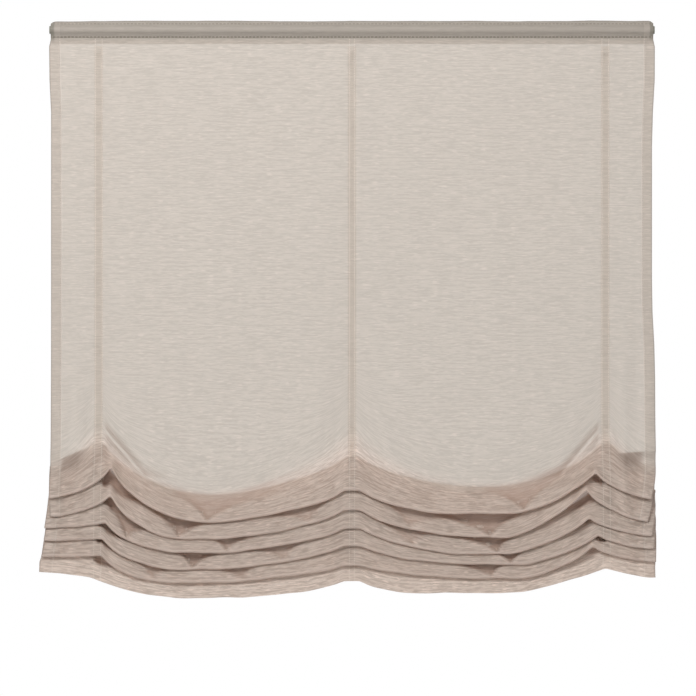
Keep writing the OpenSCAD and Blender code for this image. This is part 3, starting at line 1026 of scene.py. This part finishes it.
def woven_tape(name, colour, uv_map, glow, sheer):
    """Close plain weave of narrow tape, with ribs across and a firmer edge."""
    n = Nodes(name)
    if uv_map:
        at = n.add("ShaderNodeUVMap", uv_map=uv_map).outputs[0]
        ribs, yarns = (260.0, 1300.0, 1.0), (1300.0, 120.0, 1.0)
    else:
        at = n.add("ShaderNodeTexCoord").outputs["Object"]
        ribs, yarns = (260.0, 40.0, 1300.0), (1300.0, 40.0, 120.0)
    across = n.noise(at, ribs)
    down = n.noise(at, yarns)
    cloud = n.noise(at, (30.0, 30.0, 30.0))
    shade = n.mix(n.span(across, 0.35, 0.7), rgba(colour, 0.82), rgba(colour, 1.08))
    shade = n.mix(n.span(cloud, 0.35, 0.7, 0.0, 0.25), shade, rgba(colour, 0.8))
    relief = n.plus(across, n.times(down, 0.6))
    normal = n.bump(relief, 0.5, 0.0005)
    face = n.add(
        "ShaderNodeBsdfPrincipled",
        {
            "Base Color": shade,
            "Roughness": n.span(down, 0.3, 0.7, 0.85, 0.65),
            "Specular IOR Level": 0.25,
            "Sheen Weight": 0.15,
            "Sheen Roughness": 0.5,
            "Normal": normal,
        },
    ).outputs[0]
    through = n.add("ShaderNodeBsdfTranslucent", {"Color": rgba(colour, 1.15), "Normal": normal}).outputs[0]
    weave = n.blend(glow, face, through)
    gaps = n.clear()
    return n.finish(n.blend(sheer, weave, gaps))


def twisted_yarn(name, colour, scale):
    """Spun thread and cord: fine strands, dull lustre."""
    n = Nodes(name)
    at = n.add("ShaderNodeTexCoord").outputs["Object"]
    strands = n.noise(at, (scale, scale, scale * 0.35), 3.0, 0.6)
    cloud = n.noise(at, (90.0, 90.0, 25.0))
    shade = n.mix(n.span(strands, 0.3, 0.7), rgba(colour, 0.72), rgba(colour, 1.1))
    shade = n.mix(n.span(cloud, 0.35, 0.7, 0.0, 0.3), shade, rgba(colour, 0.78))
    face = n.add(
        "ShaderNodeBsdfPrincipled",
        {
            "Base Color": shade,
            "Roughness": n.span(strands, 0.3, 0.7, 0.75, 0.5),
            "Specular IOR Level": 0.35,
            "Sheen Weight": 0.2,
            "Normal": n.bump(strands, 0.4, 0.0003),
        },
    ).outputs[0]
    return n.finish(face)


def satin_steel(name, colour):
    """Drawn steel tube with fine lines along it and a slightly uneven lustre."""
    n = Nodes(name)
    at = n.add("ShaderNodeTexCoord").outputs["Object"]
    lines = n.noise(at, (4.0, 900.0, 900.0), 3.0, 0.6)
    cloud = n.noise(at, (9.0, 60.0, 60.0))
    shade = n.mix(n.span(lines, 0.3, 0.7), rgba(colour, 0.85), rgba(colour, 1.12))
    shade = n.mix(n.span(cloud, 0.4, 0.7, 0.0, 0.3), shade, rgba(colour, 0.75))
    face = n.add(
        "ShaderNodeBsdfPrincipled",
        {
            "Base Color": shade,
            "Metallic": 0.9,
            "Roughness": n.span(cloud, 0.3, 0.7, 0.34, 0.48),
            "Normal": n.bump(lines, 0.15, 0.0002),
        },
    ).outputs[0]
    return n.finish(face)


def moulded_plastic(name, colour, rough, grain, level):
    """Moulded plastic with a fine skin and slightly cloudy colour."""
    n = Nodes(name)
    at = n.add("ShaderNodeTexCoord").outputs["Object"]
    skin = n.noise(at, (grain, grain, grain), 3.0, 0.6)
    cloud = n.noise(at, (160.0, 160.0, 160.0))
    shade = n.mix(n.span(cloud, 0.35, 0.7), rgba(colour, 0.93), rgba(colour, 1.05))
    shade = n.mix(n.span(skin, 0.55, 0.8, 0.0, 0.3), shade, rgba(colour, 0.8))
    face = n.add(
        "ShaderNodeBsdfPrincipled",
        {
            "Base Color": shade,
            "Roughness": n.span(skin, 0.3, 0.7, rough * 0.85, rough * 1.15),
            "Specular IOR Level": 0.45,
            "Normal": n.bump(skin, level, 0.0002),
        },
    ).outputs[0]
    return n.finish(face)


def pale_floor(name, colour, lift):
    """Matt painted floor with a trace of unevenness, lifted towards white where it is seen."""
    n = Nodes(name)
    at = n.add("ShaderNodeTexCoord").outputs["Object"]
    cloud = n.noise(at, (1.5, 1.5, 1.5), 3.0, 0.5)
    shade = n.mix(n.span(cloud, 0.3, 0.7), rgba(colour, 0.985), rgba(colour))
    face = n.add("ShaderNodeBsdfPrincipled", {"Base Color": shade, "Roughness": 0.9, "Specular IOR Level": 0.1})
    light = n.add("ShaderNodeEmission", {"Strength": n.times(n.seen(), lift)})
    return n.finish(n.add("ShaderNodeAddShader", {0: face.outputs[0], 1: light.outputs[0]}).outputs[0])


# Stitches and tacks


def stitch_tree():
    """Geometry nodes that lay one stitch after another along a line, tilted by turns for a zigzag."""
    tree = bpy.data.node_groups.new("Stitch row", "GeometryNodeTree")
    face = tree.interface
    face.new_socket(name="Line", in_out="INPUT", socket_type="NodeSocketGeometry")
    for label in ("Stitch", "Gap", "Thread", "Slant"):
        face.new_socket(name=label, in_out="INPUT", socket_type="NodeSocketFloat")
    face.new_socket(name="Yarn", in_out="INPUT", socket_type="NodeSocketMaterial")
    face.new_socket(name="Stitches", in_out="OUTPUT", socket_type="NodeSocketGeometry")
    nodes = Tree(tree)
    add = nodes.add
    given = add("NodeGroupInput").outputs
    curve = add("GeometryNodeMeshToCurve", {"Mesh": given["Line"]}).outputs[0]
    pitch = nodes.math("ADD", given["Stitch"], given["Gap"])
    dots = add("GeometryNodeResampleCurve", {"Curve": curve, "Length": pitch}, mode="LENGTH").outputs[0]
    lift = add("GeometryNodeInputNamedAttribute", {"Name": "lift"}, data_type="FLOAT_VECTOR").outputs[0]
    upright = add("FunctionNodeAlignRotationToVector", {"Vector": lift}, axis="Z").outputs[0]
    tangent = add("GeometryNodeInputTangent").outputs[0]
    turned = add(
        "FunctionNodeAlignRotationToVector", {"Rotation": upright, "Vector": tangent}, axis="X", pivot_axis="Z"
    ).outputs[0]
    index = add("GeometryNodeInputIndex").outputs[0]
    parity = nodes.math("MODULO", index, 2.0)
    sign = nodes.math("MULTIPLY_ADD", parity, 2.0, -1.0)
    angle = nodes.math("MULTIPLY", sign, given["Slant"])
    slant = add("FunctionNodeAxisAngleToRotation", {"Axis": (0.0, 0.0, 1.0), "Angle": angle}).outputs[0]
    tilted = add("FunctionNodeRotateRotation", {"Rotation": turned, "Rotate By": slant}, rotation_space="LOCAL")
    half = nodes.math("MULTIPLY", given["Stitch"], 0.5)
    thin = nodes.math("MULTIPLY", given["Thread"], 0.5)
    size = add("ShaderNodeCombineXYZ", {0: half, 1: thin, 2: thin}).outputs[0]
    bead = add("GeometryNodeMeshUVSphere", {"Segments": 6, "Rings": 5, "Radius": 1.0}).outputs[0]
    laid = add(
        "GeometryNodeInstanceOnPoints",
        {"Points": dots, "Instance": bead, "Rotation": tilted.outputs[0], "Scale": size},
    ).outputs[0]
    real = add("GeometryNodeRealizeInstances", {"Geometry": laid}).outputs[0]
    smooth = add("GeometryNodeSetShadeSmooth", {"Geometry": real}).outputs[0]
    done = add("GeometryNodeSetMaterial", {"Geometry": smooth, "Material": given["Yarn"]}).outputs[0]
    add("NodeGroupOutput", {"Stitches": done})
    return tree


def tack_tree():
    """Geometry nodes that bind a ring with loops of thread, side by side."""
    tree = bpy.data.node_groups.new("Ring tack", "GeometryNodeTree")
    face = tree.interface
    face.new_socket(name="Places", in_out="INPUT", socket_type="NodeSocketGeometry")
    face.new_socket(name="Loop radius", in_out="INPUT", socket_type="NodeSocketFloat")
    face.new_socket(name="Thread", in_out="INPUT", socket_type="NodeSocketFloat")
    face.new_socket(name="Seed", in_out="INPUT", socket_type="NodeSocketInt")
    face.new_socket(name="Yarn", in_out="INPUT", socket_type="NodeSocketMaterial")
    face.new_socket(name="Tacks", in_out="OUTPUT", socket_type="NodeSocketGeometry")
    nodes = Tree(tree)
    add = nodes.add
    given = add("NodeGroupInput").outputs
    loop = add("GeometryNodeCurvePrimitiveCircle", {"Resolution": 12, "Radius": given["Loop radius"]}).outputs[0]
    half = nodes.math("MULTIPLY", given["Thread"], 0.5)
    section = add("GeometryNodeCurvePrimitiveCircle", {"Resolution": 5, "Radius": half}).outputs[0]
    coil = add("GeometryNodeCurveToMesh", {"Curve": loop, "Profile Curve": section}).outputs[0]
    jitter = add(
        "FunctionNodeRandomValue",
        {0: (-0.2, math.pi / 2, -0.25), 1: (0.2, math.pi / 2, 0.25), "Seed": given["Seed"]},
        data_type="FLOAT_VECTOR",
    ).outputs[0]
    laid = add(
        "GeometryNodeInstanceOnPoints", {"Points": given["Places"], "Instance": coil, "Rotation": jitter}
    ).outputs[0]
    real = add("GeometryNodeRealizeInstances", {"Geometry": laid}).outputs[0]
    smooth = add("GeometryNodeSetShadeSmooth", {"Geometry": real}).outputs[0]
    done = add("GeometryNodeSetMaterial", {"Geometry": smooth, "Material": given["Yarn"]}).outputs[0]
    add("NodeGroupOutput", {"Tacks": done})
    return tree


def grown(name, mesh, tree, values):
    """Plain mesh object of what a node tree grows on a mesh."""
    seed = show(name + "_line", mesh)
    modifier = seed.modifiers.new("Grow", "NODES")
    modifier.node_group = tree
    for item in tree.interface.items_tree:
        if item.item_type == "SOCKET" and item.in_out == "INPUT" and item.name in values:
            modifier[item.identifier] = values[item.name]
    bpy.context.view_layer.update()
    made = bpy.data.meshes.new_from_object(seed.evaluated_get(bpy.context.evaluated_depsgraph_get()))
    made.name = name
    seed.modifiers.remove(modifier)
    bpy.data.objects.remove(seed)
    bpy.data.meshes.remove(mesh)
    if not made.polygons:
        raise RuntimeError(f"{name} came out empty")
    return show(name, made)


def line_mesh(name, lines):
    """Mesh of open lines, each (points in mm, normals)."""
    verts, edges, lift = [], [], []
    for points, normals in lines:
        first = len(verts)
        verts += (np.asarray(points) * 0.001).tolist()
        lift += np.asarray(normals).tolist()
        edges += [(first + i, first + i + 1) for i in range(len(points) - 1)]
    mesh = bpy.data.meshes.new(name)
    mesh.from_pydata(verts, edges, [])
    layer = mesh.attributes.new("lift", "FLOAT_VECTOR", "POINT")
    layer.data.foreach_set("vector", np.asarray(lift, np.float32).ravel())
    return mesh


def run_along(path):
    """Running length along a path."""
    return np.concatenate([[0.0], np.cumsum(np.linalg.norm(np.diff(path, axis=0), axis=1))])


def twisted_cord(name, path, diameter, lay, material):
    """Cord of three strands laid round each other along a path in mm."""
    path = np.asarray(path, float)
    tangent = np.gradient(path, axis=0)
    tangent /= np.linalg.norm(tangent, axis=1, keepdims=True)
    side = np.empty_like(path)
    carried = np.array([1.0, 0.0, 0.0])
    for i, along in enumerate(tangent):
        carried = carried - along * carried.dot(along)
        carried /= np.linalg.norm(carried)
        side[i] = carried
    other = np.cross(tangent, side)
    run = run_along(path)
    corners = 12
    angle = np.arange(corners) / corners * 2 * np.pi
    radius = diameter / 2 * (0.80 + 0.20 * np.abs(np.cos(1.5 * angle)) ** 0.7)
    turn = angle[None, :] + run[:, None] / lay * 2 * np.pi
    verts = (
        path[:, None, :]
        + radius[None, :, None] * np.cos(turn)[..., None] * side[:, None, :]
        + radius[None, :, None] * np.sin(turn)[..., None] * other[:, None, :]
    )
    rows = len(path)
    verts = verts.reshape(-1, 3) * 0.001
    faces = []
    for i in range(rows - 1):
        for j in range(corners):
            k = (j + 1) % corners
            faces.append((i * corners + j, i * corners + k, (i + 1) * corners + k, (i + 1) * corners + j))
    faces.append(tuple(range(corners - 1, -1, -1)))
    faces.append(tuple((rows - 1) * corners + j for j in range(corners)))
    mesh = bpy.data.meshes.new(name)
    mesh.from_pydata(verts.tolist(), [], faces)
    mesh.polygons.foreach_set("use_smooth", np.ones(len(mesh.polygons), dtype=bool))
    mesh.update()
    return show(name, mesh, material)


def rounded(path, gap, rounds):
    """Path with points a gap apart and its corners rounded off."""
    path = np.asarray(path, float)
    run = run_along(path)
    at = np.linspace(0, run[-1], int(run[-1] / gap) + 1)
    path = np.stack([np.interp(at, run, path[:, i]) for i in range(3)], axis=1)
    for _ in range(rounds):
        path[1:-1] = (path[:-2] + 2 * path[1:-1] + path[2:]) / 4
    return [tuple(point) for point in path]


def finish_piece(obj, slot, *nodes):
    """Rides a piece on the object and hides the parts of model.glb that it stands for."""
    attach(obj, "root")
    if nodes:
        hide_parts(*nodes)


# Operators


class BLIND_OT_stage(bpy.types.Operator):
    """Set up the camera, the lights and the floor"""

    bl_idname = "blind.stage"
    bl_label = "Stage"

    def execute(self, context):
        stage = context.scene.blind_stage
        scene = context.scene
        scene.view_settings.view_transform = "Standard"
        camera = bpy.data.cameras.new("Camera")
        sensor = 36.0
        camera.sensor_width = sensor
        camera.lens = sensor * stage.distance / stage.view_width
        camera.clip_end = 50.0
        holder = bpy.data.objects.new("Camera", camera)
        holder.location = (stage.view_x, -stage.distance, stage.view_z)
        holder.rotation_euler = (math.radians(90), 0.0, 0.0)
        scene.collection.objects.link(holder)
        scene.camera = holder
        middle = Vector((0.0, 0.0, -0.45))
        for name, place, width, height, power in (
            ("Front light", (-1.0, -2.6, 1.45), 1.2, 1.0, stage.key),
            ("Fill light", (2.4, -2.2, -0.2), 1.6, 2.0, stage.fill),
            ("Back light", (0.3, 2.6, 0.2), 2.4, 2.0, stage.back),
        ):
            lamp = bpy.data.lights.new(name, "AREA")
            lamp.shape = "RECTANGLE"
            lamp.size, lamp.size_y, lamp.energy = width, height, power
            lit = bpy.data.objects.new(name, lamp)
            lit.location = place
            lit.rotation_euler = (middle - Vector(place)).to_track_quat("-Z", "Y").to_euler()
            scene.collection.objects.link(lit)
        self.sky(scene, stage)
        size = 2.2
        mesh = bpy.data.meshes.new("Floor")
        z = stage.floor_z
        mesh.from_pydata(
            [(-size, -size, z), (size, -size, z), (size, size, z), (-size, size, z)], [], [(0, 1, 2, 3)]
        )
        floor = show("Floor", mesh, pale_floor("pale_floor", (0.86, 0.86, 0.855), 0.42))
        return {"FINISHED"}

    def sky(self, scene, stage):
        """Even light from all round, seen as plain white."""
        world = bpy.data.worlds.new("Studio")
        world.use_nodes = True
        scene.world = world
        n = Tree(world.node_tree)
        level = n.add("ShaderNodeMapRange", {0: n.seen(), 3: stage.ambient, 4: 1.0}).outputs[0]
        light = n.add("ShaderNodeBackground", {0: WHITE, 1: level}).outputs[0]
        n.add("ShaderNodeOutputWorld", {0: light})


class BLIND_OT_cloth(bpy.types.Operator):
    """Make the cloth panel with its heading, fall, folds and hems"""

    bl_idname = "blind.cloth"
    bl_label = "Cloth panel"

    def execute(self, context):
        cloth, trim = context.scene.blind_cloth, context.scene.blind_trim
        shape = ClothShape(cloth)
        x = columns(shape.half, trim.tape_width * 500)
        points, kinds = shape.surface(x)
        normal = normals_of(points)
        half = cloth.thickness * 500
        hem_ply = 0.55
        hem = np.zeros(points.shape[:2])
        side_hem = np.abs(x) > shape.half - cloth.side_hem * 1000 + 0.1
        hem[np.ix_(rows_of(kinds, *SEWN, "hem"), side_hem)] = hem_ply
        hem[rows_of(kinds, "hem"), :] = hem_ply
        front = points + normal * half
        back = points - normal * (half + hem[..., None])
        run = lengths(points)
        heading = run[rows_of(kinds, "heading")] / 1000
        bend_at = run[rows_of(kinds, "fall")].max() / 1000
        seams = heading[TOP_ROW], heading[OVER_ROW], heading[-1]
        material = sheer_cloth(cloth, trim, run[-1] / 1000, *seams, bend_at)
        bend = ridges_of(points, normal)
        # Painted shade is added to the curve: hollows and the upper part of each fold's front darker, rims lighter as
        # painted highlights, and ridges inside painted shade lose their highlight
        bend = np.where(bend > 0, bend * np.clip(1 - 3 * shape.depth, 0, 1), bend) - 0.33 * shape.depth
        mesh = thin_solid("cloth_panel", front, back, x, flat_rows(points, kinds), bend)
        panel = show("cloth_panel", mesh, material)
        finish_piece(panel, "cloth", "fabric_panel")
        return {"FINISHED"}


class BLIND_OT_tapes(bpy.types.Operator):
    """Make the three ring tapes that follow the cloth down its back"""

    bl_idname = "blind.tapes"
    bl_label = "Ring tapes"

    def execute(self, context):
        cloth, trim = context.scene.blind_cloth, context.scene.blind_trim
        shape = ClothShape(cloth)
        material = woven_tape("ring_tape_weave", trim.tape_colour, "Flat", 0.6, 0.58)
        for side in SIDES:
            half = trim.tape_width * 500
            x = TAPE_X[side] + np.linspace(-half, half, 5)
            points, kinds = shape.surface(x)
            normal = normals_of(points)
            keep = rows_of(kinds, *SEWN)[2:-1]
            points, normal = points[keep], normal[keep]
            near = trim.tape_set * 1000
            far = near + trim.tape_thickness * 1000
            run = lengths(points)
            mesh = thin_solid(f"tape_{side}", points - normal * near, points - normal * far, x, run[:, None])
            tape = show(f"tape_{side}", mesh, material)
            finish_piece(tape, "ring_tape", f"ring_tape_{side}")
        self.pocket_tape(shape, trim)
        return {"FINISHED"}

    def pocket_tape(self, shape, trim):
        """Tape behind the heading, which closes the pocket round the rod."""
        low, high = box_of("rod_pocket_tape")
        thick = trim.tape_thickness * 1000
        radius = high[1] - thick / 2
        flat = low[1] + thick / 2

        def hug(height):
            return math.atan2(height, flat) - math.acos(radius / math.hypot(flat, height))

        rows = [(flat, -shape.under - 1.5), (flat, -shape.under)]
        angles = np.linspace(-hug(shape.under), hug(shape.over), 13)
        rows += [(radius * math.cos(a), radius * math.sin(a)) for a in angles]
        rows += [(flat, shape.over), (flat, shape.over + 1.5)]
        x = np.linspace(low[0], high[0], 160)
        rows = np.array(rows)
        points = np.stack(
            [np.broadcast_to(x, (len(rows), len(x))), np.tile(rows[:, :1], len(x)), np.tile(rows[:, 1:], len(x))], -1
        )
        bulge = np.clip((points[..., 1] - flat) / (radius - flat), 0, 1)
        points[..., 1] += 0.12 * bulge * waves(2.0 * points[..., 0], 0 * points[..., 0])
        normal = normals_of(points)
        run = lengths(points)
        front, back = points - normal * thick / 2, points + normal * thick / 2
        mesh = thin_solid("pocket_tape", back, front, x, run[:, None])
        tape = show("pocket_tape", mesh, woven_tape("pocket_tape_weave", trim.tape_colour, "Flat", 0.5, 0.1))
        finish_piece(tape, "pocket_tape", "rod_pocket_tape")


class BLIND_OT_seams(bpy.types.Operator):
    """Sew the tapes, the pocket and the hems"""

    bl_idname = "blind.seams"
    bl_label = "Seams"

    def execute(self, context):
        cloth, trim = context.scene.blind_cloth, context.scene.blind_trim
        shape = ClothShape(cloth)
        tree = stitch_tree()
        yarn = twisted_yarn("sewing_thread", trim.thread_colour, 2600.0)
        half = cloth.thickness * 500 + trim.thread * 180
        values = {
            "Stitch": trim.stitch,
            "Gap": trim.stitch_gap,
            "Thread": trim.thread,
            "Slant": 0.0,
            "Yarn": yarn,
        }
        hem_x = shape.half - cloth.side_hem * 1000 + 1.5
        tape_lines, hem_lines = [], []
        for side in SIDES:
            gap = trim.seam_set * 1000 * (0.75 if side == "centre" else 1.0)
            for offset in (-gap, gap):
                tape_lines.append(self.down(shape, TAPE_X[side] + offset, half))
        for place in (-hem_x, hem_x):
            hem_lines.append(self.down(shape, place, half))
        self.sew("tape_seams", tape_lines, tree, values)
        self.sew("side_hem_seams", hem_lines, tree, values)
        x = np.linspace(-shape.half + 3, shape.half - 3, 400)
        points, kinds = shape.surface(x)
        normal = normals_of(points)
        heading = rows_of(kinds, "heading")
        seams = []
        for z in (shape.over, -shape.under):
            row = min(heading[OVER_ROW - 1 :], key=lambda i: abs(points[i, 0, 2] - z) + abs(points[i, 0, 1]))
            seams.append((points[row] + np.array([0, -half, 0]), np.tile((0.0, -1.0, 0.0), (len(x), 1))))
        pale = twisted_yarn("pocket_thread", trim.pocket_thread, 2600.0)
        self.sew("pocket_seams", seams, tree, dict(values, Yarn=pale, Thread=trim.thread * 2.2, Gap=trim.pocket_gap))
        row = rows_of(kinds, "hem")[0]
        zigzag = dict(values, Slant=0.6, Gap=-0.0006)
        self.sew("bottom_hem_seam", [(points[row] + normal[row] * half, normal[row])], tree, zigzag)
        return {"FINISHED"}

    def down(self, shape, place, lift):
        """Line down the front of the cloth below the heading."""
        points, kinds = shape.surface(np.array([place - 1.5, place, place + 1.5]))
        normal = normals_of(points)
        keep = rows_of(kinds, *SEWN)
        return (points[keep, 1] + normal[keep, 1] * lift, normal[keep, 1])

    def sew(self, name, lines, tree, values):
        seam = grown(name, line_mesh(name, lines), tree, values)
        finish_piece(seam, "cloth")


class BLIND_OT_tacks(bpy.types.Operator):
    """Bind every ring to its tape with loops of thread"""

    bl_idname = "blind.tacks"
    bl_label = "Ring tacks"

    def execute(self, context):
        trim = context.scene.blind_trim
        tree = tack_tree()
        yarn = twisted_yarn("tack_thread", trim.tape_colour, 2600.0)
        places = []
        for side in SIDES:
            for number in range(1, RINGS + 1):
                low, high = box_of(f"ring_{side}_{number}")
                wire = (high[2] - low[2]) / 2
                middle = (low + high) / 2
                for offset in (-1.5, -0.75, 0.0, 0.75, 1.5):
                    places.append((middle[0] + offset, low[1] + wire, middle[2]))
        mesh = bpy.data.meshes.new("ring_tacks")
        mesh.from_pydata((np.array(places) * 0.001).tolist(), [], [])
        values = {"Loop radius": 0.00165, "Thread": trim.thread, "Seed": 7, "Yarn": yarn}
        tacks = grown("ring_tacks", mesh, tree, values)
        finish_piece(tacks, "ring_tape")
        return {"FINISHED"}


class BLIND_OT_cords(bpy.types.Operator):
    """Lay the three lift cords through the rings"""

    bl_idname = "blind.cords"
    bl_label = "Lift cords"

    def execute(self, context):
        trim = context.scene.blind_trim
        material = twisted_yarn("lift_cord_yarn", trim.cord_colour, 1500.0)
        cord = trim.cord * 1000
        for side in SIDES:
            low, high = box_of(f"ring_{side}_1")
            wire = (high[2] - low[2]) / 2
            rear = high[1] - wire
            hitch = wire + cord / 2 + 0.1
            x, top, bottom = TAPE_X[side], RING_Z[side][0], RING_Z[side][-1]
            hang = rear - hitch
            path = [(x, hang, z) for z in np.linspace(top, bottom, int((top - bottom) / 1.25))]
            obj = twisted_cord(f"cord_{side}", path, cord, trim.lay * 1000, material)
            finish_piece(obj, "cord", f"lift_cord_{side}")
            knots = []
            for end, ring, up in (("top", top, 1), ("low", bottom, -1)):
                line = self.knot(x, hang, rear, ring, hitch, cord, up)
                knots.append(twisted_cord(f"knot_{side}_{end}", line, cord, trim.lay * 1000, material))
                finish_piece(knots[-1], "cord")
        return {"FINISHED"}

    def knot(self, x, hang, rear, ring, hitch, cord, up):
        """Hitch round a ring's rear wire, turns round the cord itself and a short loose end."""
        arc, turns, pitch, wrap = 235, 2.5, cord * 1.1, cord * 1.06
        bend = np.radians(np.linspace(0, arc, 24))
        path = [(x, rear - hitch * math.cos(a), ring + up * hitch * math.sin(a)) for a in bend]
        start = ring - up * (hitch + 1.6)
        for t in np.linspace(0, 1, 44):
            angle = 2 * math.pi * turns * t
            height = start - up * turns * pitch * t
            path.append((x + wrap * math.sin(angle), hang + wrap * math.cos(angle), height))
        last = np.array(path[-1])
        for t in np.linspace(0, 1, 12)[1:]:
            path.append(tuple(last + np.array((-5.0 * t, -0.6 * t, -up * 2.0 * t - 5.0 * t * t))))
        return rounded(path, 0.4, 6)


class BLIND_OT_fittings(bpy.types.Operator):
    """Finish the rod, the bushes and the rings"""

    bl_idname = "blind.fittings"
    bl_label = "Rod, bushes and rings"

    def execute(self, context):
        trim = context.scene.blind_trim
        finishes = {
            "head_rod": satin_steel("satin_steel", trim.rod_colour),
            "rod_bush": moulded_plastic("bush_plastic", trim.bush_colour, 0.55, 1400.0, 0.25),
            "ring_": moulded_plastic("ring_plastic", trim.ring_colour, 0.28, 700.0, 0.08),
        }
        for name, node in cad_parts.items():
            if name.startswith(("ring_tape", "lift_cord", "fabric", "rod_pocket")):
                continue
            finish = next(m for start, m in finishes.items() if name.startswith(start))
            dress(node.data, finish)
        return {"FINISHED"}


class BLIND_PT_panel(bpy.types.Panel):
    """Sidebar list of the blind's pieces"""

    bl_idname = "BLIND_PT_panel"
    bl_label = "Roman Blind"
    bl_space_type = "VIEW_3D"
    bl_region_type = "UI"
    bl_category = "Blind"

    def draw(self, context):
        for operator in OPERATORS:
            self.layout.operator(operator.bl_idname)
        for group in (context.scene.blind_cloth, context.scene.blind_trim, context.scene.blind_stage):
            box = self.layout.box()
            for name in group.bl_rna.properties.keys():
                if name not in ("rna_type", "name"):
                    box.prop(group, name)


SETTINGS = {"blind_cloth": BlindClothSettings, "blind_trim": BlindTrimSettings, "blind_stage": BlindStageSettings}
OPERATORS = (
    BLIND_OT_stage,
    BLIND_OT_cords,
    BLIND_OT_cloth,
    BLIND_OT_tapes,
    BLIND_OT_seams,
    BLIND_OT_tacks,
    BLIND_OT_fittings,
)


def register():
    for cls in (*SETTINGS.values(), *OPERATORS, BLIND_PT_panel):
        bpy.utils.register_class(cls)
    for name, cls in SETTINGS.items():
        setattr(bpy.types.Scene, name, PointerProperty(type=cls))


def unregister():
    for name in SETTINGS:
        delattr(bpy.types.Scene, name)
    for cls in (BLIND_PT_panel, *reversed(OPERATORS), *reversed(tuple(SETTINGS.values()))):
        bpy.utils.unregister_class(cls)


def main():
    register()
    bpy.ops.blind.stage()
    bpy.ops.blind.cords()
    bpy.ops.blind.cloth()
    bpy.ops.blind.tapes()
    bpy.ops.blind.seams()
    bpy.ops.blind.tacks()
    bpy.ops.blind.fittings()


if __name__ == "__main__":
    main()
